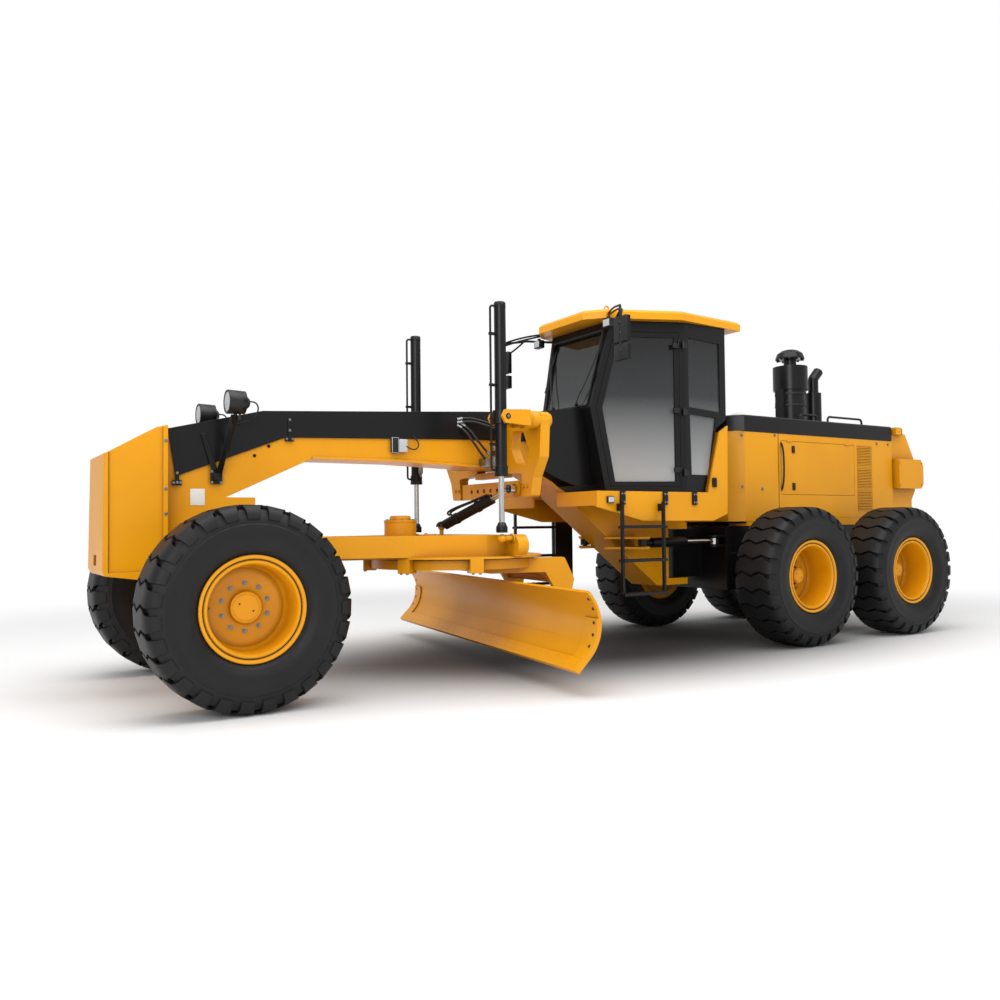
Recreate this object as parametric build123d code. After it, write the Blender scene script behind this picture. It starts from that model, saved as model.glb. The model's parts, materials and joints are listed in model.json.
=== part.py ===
"""Six-wheeled articulated motor grader with a front counterweight and a blade of 4.27 m."""
import os
from math import atan2, cos, degrees, hypot, pi, radians, sin, sqrt, tan

from build123d import *

os.makedirs("parts", exist_ok=True)

# ---------------------------------------------------------------- driving dimensions, in mm
# X runs forward, Y to the machine's left and Z up. While the pieces are drawn, X is
# counted from the middle of the tandem; piece() moves them to the middle of the machine.
WHEELBASE = 6670            # tandem centre to front axle
TANDEM_SPACING = 1738       # between the two rear axles
FRONT_REACH = 830           # counterweight face ahead of the front axle
REAR_REACH = 2300           # bumper behind the tandem centre
FRONT_TRACK = 2186          # tyre centre to tyre centre
REAR_TRACK = 2294
TYRE_RADIUS = 725
TYRE_WIDTH = 520
TREAD_WIDTH = 412
RIM_FLANGE_RADIUS = 376
RIM_SEAT_RADIUS = 330       # where the tyre's beads sit
RIM_WIDTH = 404
ARTICULATION_X = 1650       # hitch pin ahead of the tandem centre
FRAME_HALF = 200            # half the width of the front frame's box
PIN_PLAY = 0.1              # radial play of every pin and running fit
SEAT = 0.3                  # play between seated pieces

MIDDLE_X = (WHEELBASE + FRONT_REACH - REAR_REACH) / 2
AXLE_Z = TYRE_RADIUS


# ---------------------------------------------------------------- shared ways of making a solid
def piece(name, shape):
    """Write one node's solids, moved to the middle of the machine."""
    export_step(Pos(-MIDDLE_X, 0, 0) * shape, f"parts/{name}.step")


def block(x, y, z):
    """Box between (low, high) pairs."""
    centre = ((x[0] + x[1]) / 2, (y[0] + y[1]) / 2, (z[0] + z[1]) / 2)
    return Pos(*centre) * Box(x[1] - x[0], y[1] - y[0], z[1] - z[0])


def side_plate(outline, y):
    """Outline of (X, Z) points, from the first y to the second."""
    face = make_face(Polyline(*[(px, y[0], pz) for px, pz in outline], close=True))
    return extrude(face, amount=y[1] - y[0], dir=(0, 1, 0))


def floor_plate(outline, z):
    """Outline of (X, Y) points, from the first z to the second."""
    face = make_face(Polyline(*[(px, py, z[0]) for px, py in outline], close=True))
    return extrude(face, amount=z[1] - z[0], dir=(0, 0, 1))


def cross_plate(outline, x):
    """Outline of (Y, Z) points, from the first x to the second."""
    face = make_face(Polyline(*[(x[0], py, pz) for py, pz in outline], close=True))
    return extrude(face, amount=x[1] - x[0], dir=(1, 0, 0))


def rounded(points, radius):
    """Face through corner points, with every corner rounded."""
    face = make_face(Polyline(*points, close=True))
    return fillet(face.vertices(), radius)


def bar(start, end, radius):
    """Round bar between two points."""
    start, end = Vector(*start), Vector(*end)
    plane = Plane(origin=start, z_dir=end - start)
    return extrude(plane * Circle(radius), amount=(end - start).length)


def tube(start, end, outer, inner):
    return bar(start, end, outer) - bar(start, end, inner)


def run(points, radius, bend):
    """Round bar along straight runs with bends of one radius."""
    path = FilletPolyline(*points, radius=bend)
    first = Vector(*points[1]) - Vector(*points[0])
    return sweep(Plane(origin=points[0], z_dir=first) * Circle(radius), path)


def mirrored(shape):
    """The same piece on the machine's other side."""
    return mirror(shape, about=Plane.XZ)


def both(shape):
    return shape + mirrored(shape)


# ---------------------------------------------------------------- wheels
# Drawn about the Y axis at the origin, with the dished side towards +Y.
RIM_THICK = 14
DISC_OFFSET = 12            # the disc's outer face from the tyre's middle
DISC_THICK = 30
HUB_RADIUS = 118
HUB_FACE = 52               # cap face from the tyre's middle
HUB_BACK = -70
SPINDLE_RADIUS = 60


def turned(profile):
    """Solid turned about Y from (radius, y) points."""
    face = make_face(Polyline(*[(r, y, 0) for r, y in profile], close=True))
    return revolve(face, Axis.Y)


BARS = 27                   # bars moulded round a tyre's tread
BAR_DEPTH = 32
BAR_HALF = 58               # half a bar's width, round the tyre
BAR_SKEW = 20               # how far a bar leans from one shoulder to the other


def ring_of_flats(radius, y):
    """One flat for each bar of the tread, about the Y axis."""
    return Plane.XZ.offset(-y) * Rot(0, 0, 90) * RegularPolygon(radius, BARS)


def tyre():
    half, tread, bead = TYRE_WIDTH / 2, TREAD_WIDTH / 2, RIM_WIDTH / 2 - RIM_THICK - SEAT
    corner = 1 / cos(pi / BARS)             # from a ring's flats out to its corners
    floor = (TYRE_RADIUS - BAR_DEPTH) * corner
    wall = [(bead, RIM_FLANGE_RADIUS), (bead, RIM_FLANGE_RADIUS + 16), (half, 560), (tread, floor)]
    sections = [ring_of_flats(r, -y) for y, r in wall[1:]] + [ring_of_flats(r, y) for y, r in wall[:0:-1]]
    body = loft(sections, ruled=True)
    body -= extrude(ring_of_flats((RIM_SEAT_RADIUS + SEAT) * corner, -half), amount=2 * half, both=True)
    tread_bar = floor_plate([(-BAR_HALF - BAR_SKEW, -tread + 2), (BAR_HALF - BAR_SKEW, -tread + 2),
                             (BAR_HALF + BAR_SKEW, tread - 2), (-BAR_HALF + BAR_SKEW, tread - 2)],
                            (TYRE_RADIUS - BAR_DEPTH - 2, TYRE_RADIUS))
    return body + [Rot(0, 360 * i / BARS, 0) * Rot(0, 180, 0) * tread_bar for i in range(BARS)]


def rim():
    half = RIM_WIDTH / 2
    seat, thick = RIM_SEAT_RADIUS, RIM_THICK
    barrel = [(RIM_FLANGE_RADIUS, half), (RIM_FLANGE_RADIUS, half - thick),
              (seat, half - thick), (seat, thick - half),
              (RIM_FLANGE_RADIUS, thick - half), (RIM_FLANGE_RADIUS, -half),
              (seat - thick, -half), (seat - thick, half)]
    disc = [(HUB_RADIUS - 10, DISC_OFFSET), (seat - thick + 1, DISC_OFFSET),
            (seat - thick + 1, DISC_OFFSET - DISC_THICK), (HUB_RADIUS - 10, DISC_OFFSET - DISC_THICK)]
    bore = SPINDLE_RADIUS + PIN_PLAY
    hub = [(0, HUB_FACE), (HUB_RADIUS - 12, HUB_FACE), (HUB_RADIUS, HUB_FACE - 12), (HUB_RADIUS, HUB_BACK),
           (bore, HUB_BACK), (bore, DISC_OFFSET), (0, DISC_OFFSET)]
    return turned(barrel) + turned(disc) + turned(hub)


TYRE, RIM = tyre(), rim()
# name, X, tyre centre Y
WHEELS = [("rear_left_front", TANDEM_SPACING / 2, REAR_TRACK / 2),
          ("rear_left_back", -TANDEM_SPACING / 2, REAR_TRACK / 2),
          ("rear_right_front", TANDEM_SPACING / 2, -REAR_TRACK / 2),
          ("rear_right_back", -TANDEM_SPACING / 2, -REAR_TRACK / 2),
          ("front_left", WHEELBASE, FRONT_TRACK / 2),
          ("front_right", WHEELBASE, -FRONT_TRACK / 2)]
for name, x, y in WHEELS:
    turn = Rot(0, 0, 0) if y > 0 else Rot(0, 0, 180)
    place = Pos(x, y, AXLE_Z) * turn
    piece(f"tyre_{name}", place * TYRE)
    piece(f"rim_{name}", place * RIM)

# ---------------------------------------------------------------- tandem cases and rear axle
CASE_INNER, CASE_OUTER = 590, 790
CASE_END_RADIUS = 190
CASE_MID_RADIUS = 260
TRUNNION_RADIUS = 170
AXLE_TUBE_RADIUS = 150
SPINDLE_END = DISC_OFFSET - 2          # the spindle's tip from the tyre's middle


def tandem_case():
    half = TANDEM_SPACING / 2
    tilt = degrees(atan2(CASE_MID_RADIUS - CASE_END_RADIUS, half))
    outline = [(-half, -CASE_END_RADIUS), (0, -CASE_MID_RADIUS), (half, -CASE_END_RADIUS),
               (half + CASE_END_RADIUS * sin(radians(45)), -CASE_END_RADIUS * cos(radians(45))),
               (half + CASE_END_RADIUS, 0),
               (half + CASE_END_RADIUS * sin(radians(45)), CASE_END_RADIUS * cos(radians(45))),
               (half, CASE_END_RADIUS), (0, CASE_MID_RADIUS), (-half, CASE_END_RADIUS),
               (-half - CASE_END_RADIUS * sin(radians(45)), CASE_END_RADIUS * cos(radians(45))),
               (-half - CASE_END_RADIUS, 0),
               (-half - CASE_END_RADIUS * sin(radians(45)), -CASE_END_RADIUS * cos(radians(45)))]
    case = side_plate([(x, AXLE_Z + z) for x, z in outline], (CASE_INNER, CASE_OUTER))
    case -= bar((0, CASE_INNER - 1, AXLE_Z), (0, CASE_INNER + 80, AXLE_Z), TRUNNION_RADIUS + PIN_PLAY)
    for x in (-half, half):
        neck_end = REAR_TRACK / 2 + HUB_BACK - 6
        case += bar((x, CASE_OUTER, AXLE_Z), (x, neck_end, AXLE_Z), HUB_RADIUS - 8)
        case += bar((x, neck_end, AXLE_Z), (x, REAR_TRACK / 2 + SPINDLE_END, AXLE_Z), SPINDLE_RADIUS)
    return case


CASE = tandem_case()
piece("tandem_left", CASE)
piece("tandem_right", mirrored(CASE))

REAR_RAIL_Y = (330, 450)               # inner and outer face of a rear frame rail
REAR_RAIL_Z = (960, 1250)
axle = bar((0, -CASE_INNER + 6, AXLE_Z), (0, CASE_INNER - 6, AXLE_Z), AXLE_TUBE_RADIUS)
axle += both(bar((0, CASE_INNER - 40, AXLE_Z), (0, CASE_INNER + 76, AXLE_Z), TRUNNION_RADIUS))
axle += both(block((-150, 150), REAR_RAIL_Y, (AXLE_Z, REAR_RAIL_Z[0] - SEAT)))
axle += Pos(0, 0, AXLE_Z) * Sphere(230)
piece("rear_axle", axle)

# ---------------------------------------------------------------- rear frame, engine and hood
HOOD_HALF = 600
HOOD_FRONT, HOOD_REAR = 1150, -1640
HOOD_FOLD = (120, 150)       # X and Y of the chamfer on each front corner
HOOD_BOTTOM, HOOD_BAND, HOOD_TOP = 1300, 2300, 2478   # skirt edge, colour split, roof
SHEET = 24                                            # sheet with its folded stiffeners
HITCH_HALF = 170                                      # half the width of the rear tongue
HITCH_RADIUS = 150
EAR_TOP_Z = (1225, 1290)                              # the front frame's upper hitch plate
EAR_LOW_Z = (620, 690)
HITCH_PIN_RADIUS = 50
HITCH_BACK = 1300                                     # front wall of the rear frame
ARTIC_CYL_Y = 480
ARTIC_REAR_X = 1400
ARTIC_Z = 1090
ARTIC_EAR_GAP = 40                                    # half the room between an eye's two ears

rails = both(block((-REAR_REACH + 120, HITCH_BACK), REAR_RAIL_Y, REAR_RAIL_Z))
rear_frame = rails
for x in (-REAR_REACH + 120, -1300, 560):
    rear_frame += block((x, x + 120), (-REAR_RAIL_Y[0] - 1, REAR_RAIL_Y[0] + 1), REAR_RAIL_Z)
rear_frame += block((-REAR_REACH, -REAR_REACH + 120), (-640, 640), (900, 1250))
TOW_PIN = 21                            # bore of the towing clevises
rear_frame -= block((-REAR_REACH - 1, -REAR_REACH + 90), (-90, 90), (1025, 1115))
rear_frame -= bar((-REAR_REACH + 45, 0, 899), (-REAR_REACH + 45, 0, 1251), TOW_PIN)
rear_frame += block((HITCH_BACK - 60, HITCH_BACK), (-560, 560), (560, 1250))
rear_frame += block((900, HITCH_BACK - 59), (-560, -300), (560, 959))
rear_frame += block((900, HITCH_BACK - 59), (300, 560), (560, 959))
tongue_z = (EAR_LOW_Z[1] + 6, EAR_TOP_Z[0] - 6)
tongue = floor_plate([(HITCH_BACK - 1, -HITCH_HALF), (ARTICULATION_X, -HITCH_RADIUS),
                      (ARTICULATION_X, HITCH_RADIUS), (HITCH_BACK - 1, HITCH_HALF)], tongue_z)
tongue += bar((ARTICULATION_X, 0, tongue_z[0]), (ARTICULATION_X, 0, tongue_z[1]), HITCH_RADIUS)
tongue -= bar((ARTICULATION_X, 0, 0), (ARTICULATION_X, 0, 2000), HITCH_PIN_RADIUS + PIN_PLAY)
rear_frame += tongue
for low in (ARTIC_Z - ARTIC_EAR_GAP - 24, ARTIC_Z + ARTIC_EAR_GAP):
    ear = block((HITCH_BACK - 1, ARTIC_REAR_X), (ARTIC_CYL_Y - 60, ARTIC_CYL_Y + 60), (low, low + 24))
    ear += bar((ARTIC_REAR_X, ARTIC_CYL_Y, low), (ARTIC_REAR_X, ARTIC_CYL_Y, low + 24), 60)
    rear_frame += both(ear)
piece("rear_frame", rear_frame)

engine = block((-1050, 350), (-300, 300), (REAR_RAIL_Z[0], 2050))
for x in (-900, 150):                   # feet that stand against the rails
    engine += both(block((x, x + 160), (299, REAR_RAIL_Y[0] - SEAT), (1060, 1180)))
piece("engine_block", engine)

DOOR_X = (-880, 440)
DOOR_Z = (1600, 2215)
LOUVRE_X = (-1205, -945)
# low and high edge of each louvred opening
LOUVRE_Z = [(1440, 1650), (1710, 1920), (1980, 2190)]
DOOR_GAP = 4


def hood_plan(inset):
    """The hood's plan, inset from its outer faces."""
    front, half = HOOD_FRONT - inset, HOOD_HALF - inset
    fold = inset * tan(pi / 8)              # keeps the chamfer's sheet about as thick as the sides
    side = [(HOOD_REAR, half), (HOOD_FRONT - HOOD_FOLD[0] - fold, half), (front, HOOD_HALF - HOOD_FOLD[1] - fold)]
    return side + [(x, -y) for x, y in reversed(side)]


hood = floor_plate(hood_plan(0), (HOOD_BOTTOM, HOOD_BAND)) - floor_plate(hood_plan(SHEET), (0, 9000))
wheel_cut = block((-2000, 700), (-700, 700), (0, HOOD_BOTTOM + 40))
hood -= wheel_cut
hood -= both(block(DOOR_X, (HOOD_HALF - 2 * SHEET, HOOD_HALF + 1), DOOR_Z))
for low, high in LOUVRE_Z:
    hood -= both(block(LOUVRE_X, (HOOD_HALF - 2 * SHEET, HOOD_HALF + 1), (low, high)))
    for i in range(6):
        z = low + (high - low) * (i + 0.5) / 6
        slat = block((LOUVRE_X[0] - 1, LOUVRE_X[1] + 1), (HOOD_HALF - SHEET + 2, HOOD_HALF - 4), (z - 6, z + 6))
        hood += both(slat)
shelf = block((HOOD_REAR + 40, HOOD_FRONT - 140), (REAR_RAIL_Y[0], HOOD_HALF - SHEET + 1),
              (REAR_RAIL_Z[1] + SEAT, REAR_RAIL_Z[1] + 30))
apron = block((HOOD_REAR + 40, HOOD_FRONT - 140), (HOOD_HALF - SHEET - 1, HOOD_HALF - 2),
              (REAR_RAIL_Z[1] + SEAT, HOOD_BOTTOM + 60))
hood += both(shelf + apron)
DOOR_HINGE = (HOOD_HALF, DOOR_Z[1] - DOOR_GAP)     # Y and Z of the doors' hinge line
HINGE_RADIUS = 10
# X ends of each hinge knuckle
HINGES = [(-780, -700), (260, 340)]
for x0, x1 in HINGES:
    hood += both(bar((x0, *DOOR_HINGE), (x1, *DOOR_HINGE), HINGE_RADIUS))
piece("engine_hood", hood)

door = block((DOOR_X[0] + DOOR_GAP, DOOR_X[1] - DOOR_GAP), (HOOD_HALF - SHEET, HOOD_HALF),
             (DOOR_Z[0] + DOOR_GAP, DOOR_Z[1] - DOOR_GAP))
for x0, x1 in HINGES:
    door -= bar((x0 - 2, *DOOR_HINGE), (x1 + 2, *DOOR_HINGE), HINGE_RADIUS + PIN_PLAY)
piece("engine_door_left", door)
piece("engine_door_right", mirrored(door))

top = floor_plate(hood_plan(0), (HOOD_BAND + SEAT, HOOD_TOP))
top = chamfer(top.edges().group_by(Axis.Z)[-1], 14)
top -= floor_plate(hood_plan(SHEET), (0, HOOD_TOP - SHEET))
top += block((HOOD_REAR, HOOD_REAR + SHEET), (-HOOD_HALF + SHEET - 1, HOOD_HALF - SHEET + 1), (HOOD_BAND + SEAT, HOOD_TOP - 1))
# X ends of each hand rail
for x0, x1 in [(0, -300), (-500, -1150)]:
    rail = run([(x0, 520, HOOD_TOP - 2), (x0, 520, HOOD_TOP + 70), (x1, 520, HOOD_TOP + 70),
                (x1, 520, HOOD_TOP - 2)], 13, 40)
    top += both(rail)
piece("hood_top", top)

CLEANER = (-330, 120)                   # X and Y of the air cleaner's axis
cx, cy = CLEANER
cleaner = bar((cx, cy, HOOD_TOP + SEAT), (cx, cy, 2900), 175)
cleaner += bar((cx, cy, 2899), (cx, cy, 3190), 205)
cleaner += bar((cx, cy, 3189), (cx, cy, 3290), 75)
# turned rain cap: a thin dome on a short neck
CAP_HALF, CAP_FOOT, CAP_CROWN = 172, 3285, 3405
dome = [(CAP_HALF, CAP_FOOT), (CAP_HALF, CAP_FOOT + 14), (150, CAP_CROWN - 48), (96, CAP_CROWN - 12), (50, CAP_CROWN)]
for (r0, z0), (r1, z1) in zip(dome, dome[1:]):
    step = Cylinder(r0, z1 - z0) if r0 == r1 else Cone(r0, r1, z1 - z0)
    cleaner += Pos(cx, cy, (z0 + z1) / 2) * step
for z in (2720, 2860):                      # clamp bands with their foot bracket
    cleaner += bar((cx, cy, z), (cx, cy, z + 40), 184)
cleaner += block((cx + 150, cx + 210), (cy - 60, cy + 60), (HOOD_TOP + SEAT, 2900))
exhaust = run([(-760, cy, HOOD_TOP + SEAT), (-760, cy, 3080), (-860, cy, 3180)], 62, 60)
exhaust += bar((-760, cy, HOOD_TOP + SEAT), (-760, cy, 2900), 95)
piece("intake_and_exhaust", cleaner + exhaust)

TAIL_HALF = 680
tail = side_plate([(HOOD_REAR - SEAT, REAR_RAIL_Z[1] + SEAT), (HOOD_REAR - SEAT, 2420), (-1980, 2400),
                   (-2180, 2060), (-2180, 1680), (-2100, 1560), (-2100, REAR_RAIL_Z[1] + SEAT)], (-560, 560))
tail += both(side_plate([(HOOD_REAR - 30, 1700), (HOOD_REAR - 30, 2070), (-2130, 2070), (-2180, 1980),
                         (-2180, 1760), (-2130, 1700)], (559, TAIL_HALF)))
tail += both(block((-1790, -1680), (540, 640), (2380, 2470)))
GRILLE_Z, GRILLE_HALF, GRILLE_BARS = (1600, 1980), 420, 9
grille = block((-2200, -2140), (-GRILLE_HALF, GRILLE_HALF), (1700, 2040))
for i in range(GRILLE_BARS):                # sloping bars across the radiator's outlet
    z = 1700 + 340 * (i + 0.5) / GRILLE_BARS
    grille -= Pos(-2160, 0, z) * Rot(0, 30, 0) * Box(34, 2 * GRILLE_HALF + 2, 6)
tail -= grille
piece("tail_housing", tail)

# ---------------------------------------------------------------- front frame
BEAM_UNDER = [(6565, 1531), (5850, 1861), (5030, 1861), (4190, 1831), (3600, 1801), (3370, 1690),
              (1985, 620), (1530, 620)]
FOOT_BACK = 1750
COVER_TOP = [(7010, 2061), (6270, 2241), (5020, 2311), (4190, 2361), (3580, 2391)]
COVER_SPLIT = [(3580, 2100), (4300, 2091), (6080, 2031), (6956, 1691)]
COVER_THICK = 12
BOLSTER_X = (6330, 7040)
BOLSTER_Z = 960
BOLSTER_GAP = 165                       # half the room for the axle, along X
BOLSTER_WINDOW = 1100                   # top of the window that the lean bar crosses
OSCILLATION_Z = 830
OSCILLATION_PIN = 60

top_line = [(x, z - COVER_THICK - 2) for x, z in COVER_TOP]
outline = BEAM_UNDER + [(1530, EAR_LOW_Z[1]), (FOOT_BACK, EAR_LOW_Z[1]), (FOOT_BACK, EAR_TOP_Z[0]),
                        (1530, EAR_TOP_Z[0]), (1530, EAR_TOP_Z[1]), (2100, 1560), (3100, 1560),
                        (3580, 1830)] + top_line[::-1] + [(7040, 2040), (7040, 1200), (6900, BOLSTER_Z),
                                                          (BOLSTER_X[0], BOLSTER_Z), (BOLSTER_X[0], 1531)]
frame = side_plate(outline, (-FRAME_HALF, FRAME_HALF))
frame -= block((WHEELBASE - BOLSTER_GAP, WHEELBASE + BOLSTER_GAP), (-FRAME_HALF - 1, FRAME_HALF + 1),
               (BOLSTER_Z - 1, BOLSTER_WINDOW))
frame -= bar((ARTICULATION_X, 0, EAR_LOW_Z[1] + 0.01), (ARTICULATION_X, 0, EAR_TOP_Z[0] - 0.01),
             hypot(ARTICULATION_X - 1530, FRAME_HALF) + 20)
frame += bar((ARTICULATION_X, 0, EAR_LOW_Z[0]), (ARTICULATION_X, 0, EAR_TOP_Z[1]), HITCH_PIN_RADIUS)
for x0, x1 in [(BOLSTER_X[0], WHEELBASE - BOLSTER_GAP), (WHEELBASE + BOLSTER_GAP, 6960)]:
    frame += block((x0, x1), (-FRAME_HALF, FRAME_HALF), (OSCILLATION_Z - 110, BOLSTER_Z + 1))
frame += bar((BOLSTER_X[0] + 10, 0, OSCILLATION_Z), (6950, 0, OSCILLATION_Z), OSCILLATION_PIN)
FLANGE_THICK, FLANGE_PROUD = 22, 10     # flange under the beam
sole = BEAM_UNDER[1:7]
flange = side_plate(sole + [(x - FLANGE_THICK / 3, z + FLANGE_THICK) for x, z in reversed(sole)],
                    (-FRAME_HALF - FLANGE_PROUD, FRAME_HALF + FLANGE_PROUD))
frame += flange
# lugs that carry the two articulation cylinders
ARTIC_FRONT_X = 2420
for low in (ARTIC_Z - ARTIC_EAR_GAP - 24, ARTIC_Z + ARTIC_EAR_GAP):
    ear = floor_plate([(2280, FRAME_HALF - 1), (2700, FRAME_HALF - 1), (ARTIC_FRONT_X + 60, ARTIC_CYL_Y + 40),
                       (ARTIC_FRONT_X - 60, ARTIC_CYL_Y + 40)], (low, low + 24))
    frame += both(ear)
frame += both(bar((ARTIC_FRONT_X, ARTIC_CYL_Y, ARTIC_Z - ARTIC_EAR_GAP - 20),
                  (ARTIC_FRONT_X, ARTIC_CYL_Y, ARTIC_Z + ARTIC_EAR_GAP + 20), 25))
# ears and upright pin of the drawbar's ball, behind the bolster
NOSE = (6180, 0, 1120)
NOSE_PIN, NOSE_EAR = 30, 50
for low in (NOSE[2] - 100, NOSE[2] + 75):
    frame += block((NOSE[0], BOLSTER_X[0] + 1), (-NOSE_EAR, NOSE_EAR), (low, low + 25))
    frame += bar((NOSE[0], 0, low), (NOSE[0], 0, low + 25), NOSE_EAR)
frame += bar((NOSE[0], 0, NOSE[2] - 100), (NOSE[0], 0, NOSE[2] + 100), NOSE_PIN)
piece("main_frame", frame)

cover = side_plate(COVER_TOP + COVER_SPLIT, (-FRAME_HALF - COVER_THICK, FRAME_HALF + COVER_THICK))
inside = side_plate([(x, z - COVER_THICK) for x, z in COVER_TOP] + [(3500, 2379)] + [(3500, 1500), (7100, 1500), (7100, 2049)],
                    (-FRAME_HALF - SEAT, FRAME_HALF + SEAT))
cover -= inside
LAMP_X, LAMP_Y, LAMP_Z = 6560, 450, 2263
lamp = bar((LAMP_X - 70, LAMP_Y, LAMP_Z), (LAMP_X + 60, LAMP_Y, LAMP_Z), 90)
lamp += bar((LAMP_X, LAMP_Y, LAMP_Z), (LAMP_X, LAMP_Y, 2150), 14)
lamp += bar((LAMP_X, LAMP_Y + 10, 2160), (LAMP_X, FRAME_HALF + COVER_THICK + 3, 1904), 16)
cover += both(lamp)
COWL_HALF = 280
cowl = side_plate([(3579, 2391), (3579, 1846), (3300, 1725), (3118, 1672), (2905, 1690), (3030, 2452), (3060, 2466)],
                  (-COWL_HALF, COWL_HALF))
cowl += both(block((3560, 3660), (FRAME_HALF + SEAT, COWL_HALF), (2110, 2370)))
cover += cowl
piece("frame_cover", cover)

# ---------------------------------------------------------------- counterweight
CW_HALF = 355
front_x = WHEELBASE + FRONT_REACH
cw = side_plate([(BOLSTER_X[1] + SEAT, 885), (BOLSTER_X[1] + 60, 885), (front_x - 25, 940), (front_x, 960), (front_x - 15, 1841),
                 (front_x - 60, 1861), (7120, 2051), (BOLSTER_X[1] + SEAT, 2071)], (-CW_HALF, CW_HALF))
cw = chamfer(cw.edges().filter_by(Axis.Z, 3).group_by(Axis.X)[-1], 20)
# side plates stand back between a front and a rear plate
cw -= both(block((BOLSTER_X[1] + 34, front_x - 42), (CW_HALF - 14, CW_HALF + 1), (965, 2100)))
cw -= block((front_x - 110, front_x + 1), (-70, 70), (1010, 1090))
cw -= bar((front_x - 60, 0, 880), (front_x - 60, 0, 1160), TOW_PIN)
piece("counterweight", cw)

# ---------------------------------------------------------------- lift saddle
LIFT_X, LIFT_Y = 4345, 815              # axis of a blade-lift cylinder at rest
TRUNNION_Z = 2230
BALL_Z = 1170                           # ball at the drawbar's end
BOSS_X = (3860, 4050)
BOSS_RADIUS = 78
STEM_RADIUS = 45
ARM_X = (3866, 3968)
LINK_Z = (1545, 1700)
SHIFT_EYE = (4040, 500, 1622)           # the centre-shift cylinder's upper eye

claw = [(LIFT_Y + 74, TRUNNION_Z), (LIFT_Y + 50, 1900), (LIFT_Y - 60, 1720), (LIFT_Y - 100, LINK_Z[0]),
        (LIFT_Y - 260, LINK_Z[0]), (580, 1760), (FRAME_HALF + 60, 1775), (FRAME_HALF + COVER_THICK + SEAT, 1830),
        (FRAME_HALF + COVER_THICK + SEAT, 2250), (420, 2290), (LIFT_Y - 40, TRUNNION_Z + 74), (LIFT_Y + 74, TRUNNION_Z + 60)]
arm = extrude(rounded([(ARM_X[0], y, z) for y, z in claw], 28), amount=ARM_X[1] - ARM_X[0], dir=(1, 0, 0))
arm += bar((BOSS_X[0], LIFT_Y, TRUNNION_Z), (BOSS_X[1], LIFT_Y, TRUNNION_Z), BOSS_RADIUS)
arm -= bar((BOSS_X[0] - 1, LIFT_Y, TRUNNION_Z), (BOSS_X[1] + 1, LIFT_Y, TRUNNION_Z), STEM_RADIUS + PIN_PLAY)
window = [(690, 1980), (660, 1840), (480, 1860), (400, 2000), (420, 2160), (600, 2150)]
arm -= extrude(rounded([(3800, y, z) for y, z in window], 40), amount=200, dir=(1, 0, 0))
saddle = both(arm)
saddle += block((3880, 3954), (-545, 545), LINK_Z)
saddle += block((3870, 3964), (-FRAME_HALF - 70, FRAME_HALF + 70), (1740, 1800 - SEAT))
for i in range(-3, 4):
    saddle -= bar((3800, i * 120, 1622), (4000, i * 120, 1622), 22)
saddle += bar((3953, SHIFT_EYE[1], SHIFT_EYE[2]), (3998, SHIFT_EYE[1], SHIFT_EYE[2]), 62)
piece("lift_saddle", saddle)

# ---------------------------------------------------------------- blade-lift cylinders
BARREL_RADIUS, ROD_RADIUS = 52, 25
BARREL_TOP, BARREL_END = 3240, 1745
TRUNNION_PIN = 26
FORK_Y = (96, 124)                      # inner and outer face of a fork arm, from the cylinder's axis
CAP_RADIUS, BALL_RADIUS = 44, 38
CAP_RIM = 50                            # rim of the rod's cap above the ball's centre

yoke = bar((BOSS_X[0] - 12, 0, 0), (BOSS_X[1] + 10, 0, 0), STEM_RADIUS)
yoke += bar((BOSS_X[1] + 6, 0, 0), (BOSS_X[1] + 70, 0, 0), 84)
yoke += bar((BOSS_X[0] - 24, 0, 0), (BOSS_X[0] - 6, 0, 0), 66)
yoke += block((BOSS_X[1] + 60, BOSS_X[1] + 110), (-FORK_Y[1], FORK_Y[1]), (-70, 70))
fork = side_plate([(BOSS_X[1] + 109, -70), (LIFT_X + 30, -58), (LIFT_X + 62, 0), (LIFT_X + 30, 58),
                   (BOSS_X[1] + 109, 70)], FORK_Y)
yoke += both(fork)
yoke -= bar((LIFT_X, -200, 0), (LIFT_X, 200, 0), TRUNNION_PIN + PIN_PLAY)
barrel = bar((LIFT_X, 0, BARREL_END), (LIFT_X, 0, BARREL_TOP), BARREL_RADIUS)
barrel += bar((LIFT_X, 0, BARREL_END - 30), (LIFT_X, 0, BARREL_END + 60), BARREL_RADIUS + 8)
barrel += bar((LIFT_X, 0, TRUNNION_Z - 60), (LIFT_X, 0, TRUNNION_Z + 60), BARREL_RADIUS + 20)
barrel += bar((LIFT_X, -FORK_Y[1], TRUNNION_Z), (LIFT_X, FORK_Y[1], TRUNNION_Z), TRUNNION_PIN)
barrel -= bar((LIFT_X, 0, BARREL_END - 31), (LIFT_X, 0, BARREL_TOP - 60), ROD_RADIUS + PIN_PLAY)
barrel += run([(LIFT_X + BARREL_RADIUS - 2, 0, BARREL_TOP - 30), (LIFT_X + 100, 0, BARREL_TOP - 30),
               (LIFT_X + 100, 0, BARREL_END + 20), (LIFT_X + BARREL_RADIUS - 2, 0, BARREL_END + 20)], 10, 25)
lift_rod = bar((LIFT_X, 0, BALL_Z + 60), (LIFT_X, 0, 2500), ROD_RADIUS)
lift_rod += bar((LIFT_X, 0, BALL_Z + CAP_RIM), (LIFT_X, 0, BALL_Z + 90), CAP_RADIUS)
for side, y in (("left", LIFT_Y), ("right", -LIFT_Y)):
    piece(f"lift_yoke_{side}", Pos(0, y, TRUNNION_Z) * yoke)
    piece(f"lift_barrel_{side}", Pos(0, y, 0) * barrel)
    piece(f"lift_rod_{side}", Pos(0, y, 0) * lift_rod)

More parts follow.
